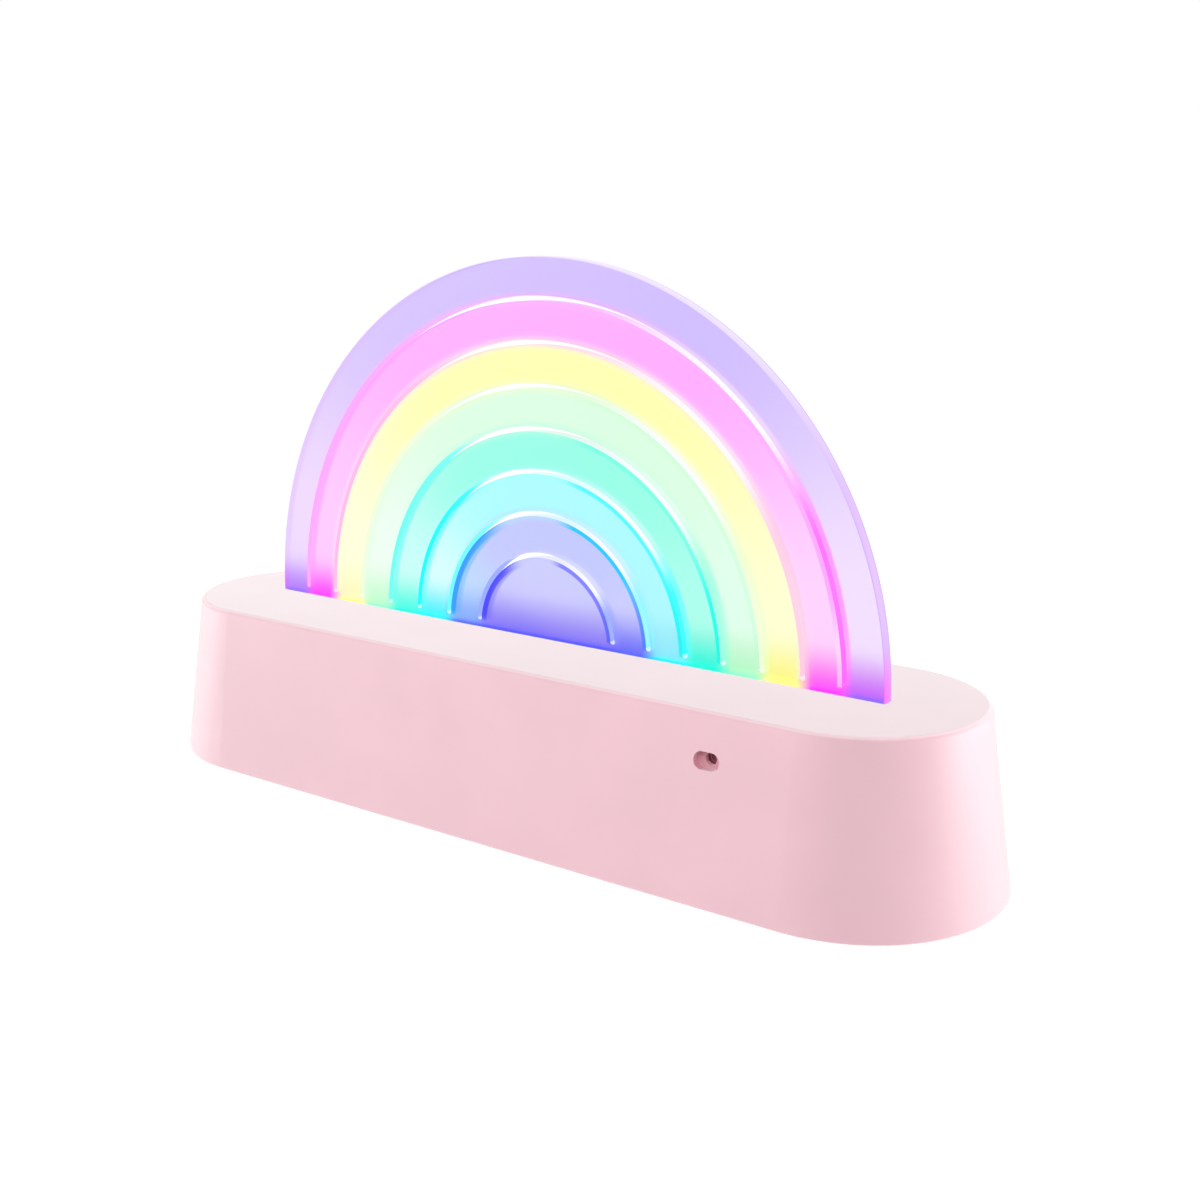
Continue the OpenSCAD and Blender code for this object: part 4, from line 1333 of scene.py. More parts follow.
class Workshop:
    """The jigs and the finishes that several sub-assemblies share."""

    WIRE_CREASE: float = 50.0

    def __init__(self) -> None:
        """Builds the jigs and the shared materials."""
        self.rack = self.build_rack()
        self.drawer = self.build_drawer()
        self.steel = PlatedMetal("zinc_plated_steel", rgb(190, 190, 192), roughness=0.32).make()
        self.nickel = PlatedMetal("nickel_plated_spring", rgb(198, 195, 188), roughness=0.24).make()

    @staticmethod
    def build_rack() -> Jig:
        """Builds the jig that sets one shape on every point of a mesh.

        Returns:
            The jig.
        """
        jig = Jig("part_on_points")
        info = jig.node("GeometryNodeObjectInfo", inputs={"Object": jig.take("Part", "NodeSocketObject")})
        inputs = {"Points": jig.start, "Instance": info.outputs["Geometry"]}
        placed = jig.node("GeometryNodeInstanceOnPoints", inputs=inputs)
        jig.finish(placed.outputs[0], [("Finish", None)])
        return jig

    @staticmethod
    def build_drawer() -> Jig:
        """Builds the jig that draws a round wire along every path of a mesh.

        Returns:
            The jig.
        """
        jig = Jig("wire_on_paths")
        line = jig.node("GeometryNodeMeshToCurve", inputs={"Mesh": jig.start})
        around = {"Radius": jig.size("Radius"), "Resolution": jig.take("Sides", "NodeSocketInt")}
        ring = jig.node("GeometryNodeCurvePrimitiveCircle", {"mode": "RADIUS"}, around)
        inputs = {"Curve": line.outputs[0], "Profile Curve": ring.outputs[0], "Fill Caps": True}
        tube = jig.node("GeometryNodeCurveToMesh", inputs=inputs)
        jig.finish(tube.outputs[0], [("Finish", None)])
        return jig

    def repeat(self, name: str, part: bpy.types.Object, places: list[Point],
               finish: bpy.types.Material) -> bpy.types.Object:
        """Sets a shape on every place and drops the working shape.

        Args:
            name: The new piece's name, and the node's that it stands for.
            part: The working shape, with its seat at the origin.
            places: Where it goes, in millimetres.
            finish: Its material.

        Returns:
            The piece.
        """
        piece = self.rack.grow(name, {"Part": part, "Finish": finish}, mesh_of("places", places, []))
        discard(part)
        return piece

    def draw(self, name: str, paths: list[list[Point]], thick: float, sides: int,
             finish: bpy.types.Material) -> bpy.types.Object:
        """Draws a round wire along each path.

        Args:
            name: The new piece's name.
            paths: The paths' points, in millimetres.
            thick: The wire's diameter in millimetres.
            sides: How many sides the wire has.
            finish: Its material.

        Returns:
            The piece.
        """
        points, edges = [], []
        for path in paths:
            first = len(points)
            points += path
            edges += [(first + k, first + k + 1) for k in range(len(path) - 1)]
        values = {"Radius": thick / 2 * MM, "Sides": sides, "Finish": finish}
        piece = self.drawer.grow(name, values, mesh_of("paths", points, [], edges))
        soften(piece.data, self.WIRE_CREASE)
        return piece

    def fasten(self, node: str, screw: Screw, places: list[Point], body: Body) -> None:
        """Puts in a set of screws for a CAD node.

        Args:
            node: The node.
            screw: The screw's sizes.
            places: Where its seats are, in millimetres.
            body: The body that it rides on.
        """
        piece = self.repeat(node + "_threaded", screw.template("screw"), places, self.steel)
        seat(piece, body, "screw_steel", node)


def seat(piece: bpy.types.Object, body: Body, slot: str, *nodes: str) -> None:
    """Fixes a finished piece to its body and reports it.

    Args:
        piece: The piece.
        body: The body that it rides on.
        slot: The record's material slot, which is not used.
        nodes: The CAD nodes that it stands for.
    """
    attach(piece, body.value)
    if nodes:
        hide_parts(*nodes)
    LOG.info("%s: %d faces, on %s", piece.name, len(piece.data.polygons), body.value)


def dress(node: str, material: bpy.types.Material) -> None:
    """Gives a CAD node its finished material.

    Args:
        node: The node's name.
        material: The material.
    """
    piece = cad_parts[node]
    for slot in piece.material_slots:
        slot.material = material
    LOG.info("%s: dressed in %s", node, material.name)


@dataclass
class Lamp:
    """One soft light, by the direction it stands in."""

    name: str
    azimuth: float
    height: float
    distance: float
    width: float
    tall: float
    power: float


@dataclass
class Studio:
    """The camera, the floor and the soft lights."""

    frame_px: float = 1200.0
    focal_px: float = 1588.084
    azimuth: float = 36.240485
    height: float = 13.821844
    roll: float = -0.25227
    distance: float = 415.1195
    target: Point = (16.0234, 1.6473, 59.0063)
    sensor: float = 36.0
    clip: Span = (0.01, 30.0)
    aim: Point = (0.0, 0.0, 45.0)
    room: float = 0.26
    faint: float = 0.25
    floor_r: float = 12000.0
    floor_sides: int = 64
    floor_colour: Colour = (0.8, 0.8, 0.8)
    lamps: list[Lamp] = field(default_factory=lambda: [
        Lamp("front_soft", 30.0, 40.0, 1.3, 1.2, 0.6, 8.4),
        Lamp("front_left_low", -42.0, 16.0, 1.3, 1.0, 0.4, 4.9),
        Lamp("right_strip", 126.0, 6.0, 1.3, 1.2, 0.4, 17.8),
        Lamp("left_strip", 284.0, 6.0, 1.9, 1.17, 0.58, 19.5),
        Lamp("back_left_soft", 225.0, 40.0, 1.3, 0.9, 0.6, 0.6),
        Lamp("under_soft", 0.0, -90.0, 0.8, 0.5, 0.3, 2.7),
    ])

    @staticmethod
    def towards(azimuth: float, height: float) -> Vector:
        """Gives the direction of a compass angle and a height, both in degrees."""
        a, h = math.radians(azimuth), math.radians(height)
        return Vector((math.sin(a) * math.cos(h), -math.cos(a) * math.cos(h), math.sin(h)))

    def set_camera(self) -> None:
        """Sets up the photograph's camera."""
        data = bpy.data.cameras.new("camera")
        camera = bpy.data.objects.new("camera", data)
        bpy.context.scene.collection.objects.link(camera)
        bpy.context.scene.camera = camera
        data.sensor_width = self.sensor
        data.lens = self.sensor * self.focal_px / self.frame_px
        data.clip_start, data.clip_end = self.clip
        back = self.towards(self.azimuth, self.height)
        right = (-back).cross(Vector((0, 0, 1))).normalized()
        up = right.cross(-back)
        turn = math.radians(self.roll)
        cos, sin = math.cos(turn), math.sin(turn)
        right, up = right * cos + up * sin, up * cos - right * sin
        place = (Vector(self.target) + back * self.distance) * MM
        axes = Matrix((right, up, back)).transposed()
        camera.matrix_world = Matrix.Translation(place) @ axes.to_4x4()

    def set_lights(self) -> None:
        """Sets up the soft lights round the lamp."""
        middle = Vector(self.aim) * MM
        for lamp in self.lamps:
            data = bpy.data.lights.new(lamp.name, "AREA")
            data.shape = "RECTANGLE"
            data.size, data.size_y = lamp.width, lamp.tall
            data.energy = lamp.power
            light = bpy.data.objects.new(lamp.name, data)
            bpy.context.scene.collection.objects.link(light)
            way = self.towards(lamp.azimuth, lamp.height)
            light.location = middle + way * lamp.distance
            light.visible_camera = light.visible_transmission = False
            light.rotation_euler = way.to_track_quat("Z", "Y").to_euler()

    def set_room(self) -> None:
        """Makes the room white to the camera and softer as a light."""
        world = bpy.data.worlds.new("room")
        bpy.context.scene.world = world
        world.use_nodes = True
        bench = Bench(world.node_tree)
        bench.tree.nodes.clear()
        strength = self.room + (1.0 - self.room) * bench.seen(*Ray)
        back = bench.node("ShaderNodeBackground", inputs={"Color": WHITE, "Strength": strength})
        bench.node("ShaderNodeOutputWorld", inputs={"Surface": back.outputs[0]})

    def set_floor(self) -> None:
        """Lays a plain pale floor that keeps a faint shadow and is clear from beneath."""
        turns = [2 * math.pi * k / self.floor_sides for k in range(self.floor_sides)]
        points = [(self.floor_r * math.cos(turn), self.floor_r * math.sin(turn), 0.0) for turn in turns]
        recipe = Recipe(
            "pale_floor", Roughness=1.0, Specular_IOR_Level=0.0, Base_Color=self.floor_colour,
        )
        white = recipe.node("ShaderNodeEmission", inputs={"Color": WHITE, "Strength": 1.0})
        level = 1.0 - self.faint * self.room
        lit = recipe.node("ShaderNodeEmission", inputs={"Color": WHITE, "Strength": level})
        faint = recipe.node("ShaderNodeBsdfDiffuse", inputs={"Color": scaled(WHITE, self.faint)})
        shown = recipe.node("ShaderNodeAddShader", inputs={0: faint.outputs[0], 1: lit.outputs[0]})
        mirrored = recipe.blend(recipe.seen(Ray.GLOSSY, Ray.TRANSMISSION), recipe.shader, white)
        above = recipe.blend(recipe.seen(Ray.CAMERA), mirrored, shown)
        beneath = recipe.node("ShaderNodeNewGeometry").outputs["Backfacing"]
        floor_shader = recipe.blend(beneath, above, recipe.node("ShaderNodeBsdfTransparent"))
        recipe.feed(recipe.out.inputs["Surface"], floor_shader.outputs[0])
        floor = piece_of(mesh_of("floor", points, [tuple(range(self.floor_sides))]), recipe.material)
        self.clear_way(floor)

    def clear_way(self, floor: bpy.types.Object) -> None:
        """Lets the light that stands beneath the floor through it.

        Args:
            floor: The floor.
        """
        passed = bpy.data.collections.new("passed_by_under_light")
        passed.objects.link(floor)
        passed.collection_objects[0].light_linking.link_state = "EXCLUDE"
        for lamp in self.lamps:
            if lamp.height < 0:
                bpy.data.objects[lamp.name].light_linking.blocker_collection = passed

    def build(self) -> None:
        """Sets up the whole studio, the camera first."""
        self.set_camera()
        self.set_lights()
        self.set_room()
        self.set_floor()
        bpy.context.scene.view_settings.view_transform = "Standard"
        LOG.info("studio: camera, floor and %d lights", len(self.lamps))


@dataclass
class Housing:
    """The moulded base, its cover, its feet and its screws."""

    workshop: Workshop
    pink: Colour = (0.785, 0.486, 0.545)
    cover_shade: float = 0.97
    # Painted light: the top and its rounded edge are painted lighter than the rest of the base.
    top: TopWithPaintedLight = TopWithPaintedLight((0.825, 0.585, 0.638), (0.97, 0.68, 0.74))
    seat_z: float = 2.7
    corner: tuple[float, float] = (84.0, 20.2328)
    middle_y: float = 24.4328
    screw: Screw = Screw(head_d=5.0, head_h=1.6, shank_d=2.5, length=8.0)

    def build(self) -> None:
        """Dresses the mouldings and puts in the screws."""
        # Painted light on the top and painted shade in the sound port's recess.
        satin = MouldedPlastic(
            "base_pink_satin", self.pink, roughness=0.4, sheen=1.0, coat=0.5, top=self.top, port=PaintedPortShade(),
        )
        dress("base_shell", satin.make())
        shade = scaled(self.pink, self.cover_shade)
        eroded = MouldedPlastic(
            "cover_pink_eroded", shade, roughness=0.55, grain=0.35, depth=0.02, sheen=0.5,
        ).make()
        dress("bottom_cover", eroded)
        dress("battery_door", eroded)
        dress("rubber_feet", Rubber("foot_rubber_grey", rgb(60, 60, 62)).make())
        x, y = self.corner
        places = [(sx * x, sy * y, self.seat_z) for sx in (-1, 1) for sy in (-1, 1)]
        places += [(0.0, side * self.middle_y, self.seat_z) for side in (-1, 1)]
        self.workshop.fasten("cover_screws", self.screw, places, Body.ROOT)


@dataclass
class BatteryDoor:
    """The screw that the battery door keeps."""

    workshop: Workshop
    lug_x: float = -2.55
    seat_z: float = 2.6
    screw: Screw = Screw(head_d=5.0, head_h=1.4, shank_d=2.5, length=5.6)

    def build(self) -> None:
        """Puts the captive screw in the door."""
        place = (self.lug_x, 0.0, self.seat_z)
        self.workshop.fasten("door_screw", self.screw, [place], Body.DOOR)


@dataclass
class RainbowPlate:
    """The clear sheet: a half disc and seven bands, parted by curved slots."""

    rule: Rainbow = Rainbow()
    thick: float = 3.5
    slot_end: float = 1.9
    flare: float = 0.2
    neck: float = 2.8
    deep: float = 12.0
    shoulder: float = 3.5
    edge: float = 0.25
    rim_steps: int = 240
    arc_steps: int = 120
    tip_steps: int = 9
    foot_corners: int = 6
    join_within: float = 0.001
    walls_from: float = 0.2
    rim_within: float = 1.0
    edge_within: float = 0.2
    slack: float = 0.01
    level: float = 0.001
    crease: float = 24.0
    flat_normal: float = 0.99

    def lengths(self) -> dict[str, float]:
        """Lists the tree's named lengths.

        Returns:
            The lengths in millimetres, by name.
        """
        return {
            "Outer radius": self.rule.radius, "Inner radius": self.rule.inner_r,
            "Slot width": self.rule.slot_w, "Slot end": self.slot_end, "Flare": self.flare,
            "Thickness": self.thick, "Neck": self.neck, "Depth": self.deep, "Shoulder": self.shoulder,
            "Base top": self.rule.z_top,
        }

    def build(self) -> None:
        """Builds the sheet in its place and dresses it."""
        values = {label: value * MM for label, value in self.lengths().items()}
        values |= {
            "Clear": ClearFace(self.rule).make(), "Outer wall": SlotWall(self.rule).make(),
            "Inner wall": SlotWall(self.rule, inner=True).make(), "Rim": OuterRim(self.rule).make(),
        }
        piece = self.build_jig().grow("rainbow_sheet", values)
        self.round_rim(piece.data)
        soften(piece.data, self.crease)
        for face in piece.data.polygons:
            face.use_smooth = abs(face.normal.y) < self.flat_normal
        piece.visible_shadow = piece.visible_diffuse = piece.visible_glossy = False
        seat(piece, Body.ROOT, "light_guide", "rainbow_plate")

    def build_jig(self) -> Jig:
        """Builds the tree that draws the sheet by its rule.

        Returns:
            The jig.
        """
        jig = Jig("rainbow_sheet")
        size = {label: jig.size(label) for label in self.lengths()}
        thick = size["Thickness"]
        curves = [self.draw_slots(jig, size), self.draw_outline(jig, size)]
        drawn = jig.node("GeometryNodeJoinGeometry", inputs={0: curves})
        flat = jig.node("GeometryNodeFillCurve", {"mode": "TRIANGLES"}, {"Curve": drawn.outputs[0]})
        inputs = {"Mesh": flat.outputs[0], "Offset Scale": thick, "Individual": False}
        raised = jig.node("GeometryNodeExtrudeMesh", {"mode": "FACES"}, inputs)
        under = jig.node("GeometryNodeFlipFaces", inputs={"Mesh": flat.outputs[0]})
        both = jig.node("GeometryNodeJoinGeometry", inputs={0: [raised.outputs[0], under.outputs[0]]})
        inputs = {"Geometry": both.outputs[0], "Distance": self.join_within * MM}
        solid = jig.node("GeometryNodeMergeByDistance", inputs=inputs)
        inputs = {
            "Geometry": solid.outputs[0], "Rotation": (math.pi / 2, 0.0, 0.0),
            "Translation": jig.join(0.0, thick / 2, size["Base top"]),
        }
        stood = jig.node("GeometryNodeTransform", inputs=inputs)
        self.dress_jig(jig, stood.outputs[0], size)
        return jig

    def draw_outline(self, jig: Jig, size: dict[str, Signal]) -> bpy.types.NodeSocket:
        """Draws the half circle and the foot under it.

        Args:
            jig: The tree.
            size: Its named lengths.

        Returns:
            One closed curve.
        """
        radius, neck = size["Outer radius"], size["Neck"]
        index = Signal(jig, jig.node("GeometryNodeInputIndex").outputs[0])
        on_arc = index < self.rim_steps - 0.5
        angle = index * (math.pi / (self.rim_steps - 1))
        # From the left, corners 1 to 4 stand out by the shoulder, and 2 and 3 are at the bottom.
        corner = index - self.rim_steps
        wide = (corner > 0.5) * (corner < 4.5)
        low = (corner > 1.5) * (corner < 3.5)
        side = 2 * (corner > 2.5) - 1
        corner_x = side * (radius + wide * size["Shoulder"])
        corner_y = neck + low * (size["Depth"] - neck)
        x = on_arc * radius * angle.calc("COSINE", angle) + (1 - on_arc) * corner_x
        y = on_arc * radius * angle.calc("SINE", angle) - (1 - on_arc) * corner_y
        return self.close(jig, self.rim_steps + self.foot_corners, jig.join(x, y, 0.0), 0)

    def draw_slots(self, jig: Jig, size: dict[str, Signal]) -> bpy.types.NodeSocket:
        """Draws the slots: each goes over, round its tip, back, and round its other tip.

        Args:
            jig: The tree.
            size: Its named lengths.

        Returns:
            One closed curve for each slot.
        """
        slot_w, inner = size["Slot width"], size["Inner radius"]
        half = self.arc_steps + self.tip_steps
        index = Signal(jig, jig.node("GeometryNodeInputIndex").outputs[0])
        slot = (index / (2 * half)).calc("FLOOR", index / (2 * half))
        step = index - slot * (2 * half)
        back = step > half - 0.5
        step = step - back * half
        side = 1 - 2 * back
        on_arc = step < self.arc_steps - 0.5
        middle = inner + slot * (size["Outer radius"] - inner) / self.rule.count + slot_w / 2
        tip = (slot_w + size["Flare"]) / 2
        ratio = (size["Slot end"] + tip) / middle
        foot = ratio.calc("ARCSINE", ratio)
        start = (tip * tip - slot_w * slot_w / 4).root()
        first = slot_w.calc("ARCTAN2", slot_w / 2, start)
        round_share = (step - (self.arc_steps - 1)) / (self.tip_steps + 1)
        gamma = first + round_share * (2 * math.pi - 2 * first)
        over = (math.pi / 2 - foot - start / middle) * (2 * step / (self.arc_steps - 1) - 1)
        round_tip = math.pi / 2 - foot - tip * gamma.calc("COSINE", gamma) / middle
        angle = math.pi / 2 + side * (on_arc * over + (1 - on_arc) * round_tip)
        out = on_arc * slot_w / 2 + (1 - on_arc) * tip * gamma.calc("SINE", gamma)
        reach = middle + side * out
        x, y = reach * angle.calc("COSINE", angle), reach * angle.calc("SINE", angle)
        return self.close(jig, 2 * half * self.rule.count, jig.join(x, y, 0.0), slot)

    @staticmethod
    def close(jig: Jig, count: int, place: bpy.types.NodeSocket,
              group: Signal | int) -> bpy.types.NodeSocket:
        """Turns placed points into closed curves.

        Args:
            jig: The tree.
            count: How many points there are.
            place: Each point's place.
            group: Which curve each point belongs to.

        Returns:
            The curves.
        """
        points = jig.node("GeometryNodePoints", inputs={"Count": count, "Position": place})
        inputs = {"Points": points.outputs[0], "Curve Group ID": group}
        line = jig.node("GeometryNodePointsToCurves", inputs=inputs)
        inputs = {"Geometry": line.outputs[0], "Cyclic": True}
        return jig.node("GeometryNodeSetSplineCyclic", inputs=inputs).outputs[0]

    def dress_jig(self, jig: Jig, shape: bpy.types.NodeSocket, size: dict[str, Signal]) -> None:
        """Gives the faces, the slot walls and the rim their materials.

        Args:
            jig: The tree.
            shape: The standing sheet.
            size: The tree's named lengths.
        """
        x, _, z = jig.split(jig.node("GeometryNodeInputPosition").outputs[0])
        normal_x, normal_y, normal_z = jig.split(jig.node("GeometryNodeInputNormal").outputs[0])
        up = z - size["Base top"]
        reach = (x * x + up * up).root()
        outwards = (normal_x * x + normal_z * up) / reach
        wall = (abs(normal_y) < 0.5) * (up > self.walls_from * MM)
        inside = reach < size["Outer radius"] - self.rim_within * MM
        jig.finish(shape, [
            ("Clear", None),
            ("Outer wall", wall * inside * (outwards < 0)),
            ("Inner wall", wall * inside * (outwards > 0)),
            ("Rim", wall * (1 - inside)),
        ])

    def round_rim(self, mesh: bpy.types.Mesh) -> None:
        """Breaks the sharp edges of the rainbow's outer rim.

        Args:
            mesh: The sheet's mesh.
        """
        work = bmesh.new()
        work.from_mesh(mesh)
        centre = Vector((0, 0, self.rule.z_top)) * MM
        limit = (self.rule.radius - self.edge_within) * MM
        edges = []
        for edge in work.edges:
            ends = [v.co - centre for v in edge.verts]
            far = all(math.hypot(e.x, e.z) > limit and e.z > -self.slack * MM for e in ends)
            if far and abs(ends[0].y - ends[1].y) < self.level * MM:
                edges.append(edge)
        rim = mesh.materials.find("light_guide_rim")
        bmesh.ops.bevel(
            work, geom=edges, offset=self.edge * MM, segments=2, profile=0.5, affect="EDGES", material=rim
        )
        work.to_mesh(mesh)
        work.free()


@dataclass
class LightEngine:
    """The plate's holder, the light board and its lights."""

    workshop: Workshop
    rule: Rainbow = Rainbow()
    z_board: float = 31.3
    board_t: float = 1.6
    light: Point = (3.5, 2.8, 1.9)
    round_r: float = 0.25
    wall_t: float = 0.35
    cup_slope: float = 0.3
    cup_h: float = 0.35
    crease: float = 30.0
    terminal_t: float = 0.12
    terminal_h: float = 1.0
    ear: Point = (72.0, 10.1, 38.0)
    ear_screw: Screw = Screw(head_d=5.0, head_h=1.6, shank_d=2.5, length=5.5)
    screw_x: tuple[float, ...] = (-108.0, -14.05, 14.05, 108.0)
    board_screw: Screw = Screw(head_d=3.6, head_h=1.2, shank_d=1.9, length=4.5, pitch=0.8)

    def light_x(self) -> list[float]:
        """Lists where the lights stand.

        Returns:
            The place under the half disc and the two under each band.
        """
        rule = self.rule
        bands = [rule.inner_r + k * rule.pitch + (rule.pitch + rule.slot_w) / 2 for k in range(rule.count)]
        return [0.0] + bands + [-x for x in bands]

    def light_shape(self) -> bpy.types.Object:
        """Builds one light: a body with rounded corners and a reflector cup with its filling.

        Returns:
            A working shape with its seat at the origin.
        """
        high = self.light[2] * MM
        work = bmesh.new()
        bmesh.ops.create_cube(work, size=1.0)
        bmesh.ops.scale(work, vec=Vector(self.light) * MM, verts=work.verts)
        bmesh.ops.translate(work, vec=Vector((0, 0, high / 2)), verts=work.verts)
        upright = [e for e in work.edges if abs(e.verts[0].co.z - e.verts[1].co.z) > high / 2]
        bmesh.ops.bevel(
            work, geom=upright, offset=self.round_r * MM, segments=3, profile=0.5, affect="EDGES"
        )
        top = max(work.faces, key=lambda f: f.calc_center_median().z)
        bmesh.ops.inset_region(work, faces=[top], thickness=self.wall_t * MM)
        bmesh.ops.inset_region(work, faces=[top], thickness=self.cup_slope * MM, depth=-self.cup_h * MM)
        mesh = bpy.data.meshes.new("light")
        work.to_mesh(mesh)
        work.free()
        soften(mesh, self.crease)
        return piece_of(mesh)

    def terminals(self, recipe: Recipe) -> Signal:
        """Finds the metal ends, low on each light's two short sides.

        Args:
            recipe: The lights' material.

        Returns:
            1 on the metal.
        """
        near, *others = [abs(recipe.x - x) for x in self.light_x()]
        for other in others:
            near = near.calc("MINIMUM", near, other)
        at_end = near > self.light[0] / 2 - self.terminal_t
        return at_end * (recipe.z < self.z_board + self.terminal_h)

    def build(self) -> None:
        """Dresses the holder and the board, and sets the lights and the screws."""
        white = MouldedPlastic("holder_white", rgb(244, 243, 240), roughness=0.5, grain=0.3, depth=0.01)
        dress("plate_holder", white.make())
        board = BoardLaminate("light_board_mask", rgb(240, 240, 236), rgb(226, 226, 220), holes=0.0)
        dress("led_board", board.make())
        package = TwoPart("light_package", rgb(250, 246, 222), rgb(206, 204, 200), body_rough=0.35)
        places = [(x, 0.0, self.z_board) for x in self.light_x()]
        finish = package.make(self.terminals)
        lights = self.workshop.repeat("light_packages", self.light_shape(), places, finish)
        seat(lights, Body.ROOT, "led_package", "leds")
        x, y, z = self.ear
        ears = [(sx * x, sy * y, z) for sx in (-1, 1) for sy in (-1, 1)]
        self.workshop.fasten("holder_screws", self.ear_screw, ears, Body.ROOT)
        ends = [(x, 0.0, self.z_board - self.board_t) for x in self.screw_x]
        self.workshop.fasten("led_board_screws", self.board_screw, ends, Body.ROOT)


@dataclass
class BatteryBay:
    """The three cells, their contact plates and the coiled springs."""

    workshop: Workshop
    low_x: float = -64.35
    high_x: float = -7.65
    z_cell: float = 11.05
    cell_pitch: float = 15.2
    cell_l: float = 50.5
    bare_minus: float = 0.7
    bare_plus: float = 2.0
    contact_t: float = 0.5
    spring_l: float = 5.0
    spring_gap: float = 0.05
    wire: float = 0.7
    foot_r: float = 3.6
    tip_r: float = 2.4
    turns: int = 3
    closed: float = 0.5
    steps: int = 28
    wire_sides: int = 14

    def spring_path(self, row: int) -> list[Point]:
        """Lists the points of one spring, from its closed foot to its closed tip.

        Args:
            row: The cell's number, from -1 to 1.

        Returns:
            The points in millimetres.
        """
        foot_x = self.high_x - self.contact_t if row == 0 else self.low_x + self.contact_t
        way = -1 if row == 0 else 1
        climb = self.spring_l - self.wire - 2 * self.spring_gap
        out = []
        for k in range((self.turns + 1) * self.steps + 1):
            turn = k / self.steps
            share = min(1.0, max(0.0, (turn - self.closed) / self.turns))
            radius = self.foot_r + (self.tip_r - self.foot_r) * share
            rise = self.wire / 2 + self.spring_gap + climb * share
            angle = 2 * math.pi * turn * way
            y = row * self.cell_pitch + radius * math.sin(angle)
            out.append((foot_x + way * rise, y, self.z_cell + radius * math.cos(angle)))
        return out

    def metal_end(self, recipe: Recipe) -> Signal:
        """Finds the bare metal ends of the cells, one of which lies the other way round.

        Args:
            recipe: The cells' material.

        Returns:
            1 on the metal.
        """
        turned = abs(recipe.y) < self.cell_pitch / 2
        spring_low = self.low_x + self.contact_t + self.spring_l
        spring_high = self.high_x - self.contact_t - self.spring_l
        along = turned * (spring_high - recipe.x) + (1 - turned) * (recipe.x - spring_low)
        return 1 - (along > self.bare_minus) * (along < self.cell_l - self.bare_plus)

    def build(self) -> None:
        """Dresses the cells and plates, and winds the springs."""
        foil, steel = rgb(96, 120, 136), rgb(200, 198, 190)
        jacket = TwoPart("cell_jacket", foil, steel, body_rough=0.28, metal_rough=0.26)
        dress("battery_cells", jacket.make(self.metal_end))
        dress("contact_plates", self.workshop.nickel)
        paths = [self.spring_path(row) for row in (-1, 0, 1)]
        nickel = self.workshop.nickel
        springs = self.workshop.draw("wound_springs", paths, self.wire, self.wire_sides, nickel)
        seat(springs, Body.ROOT, "contact_nickel", "contact_springs")


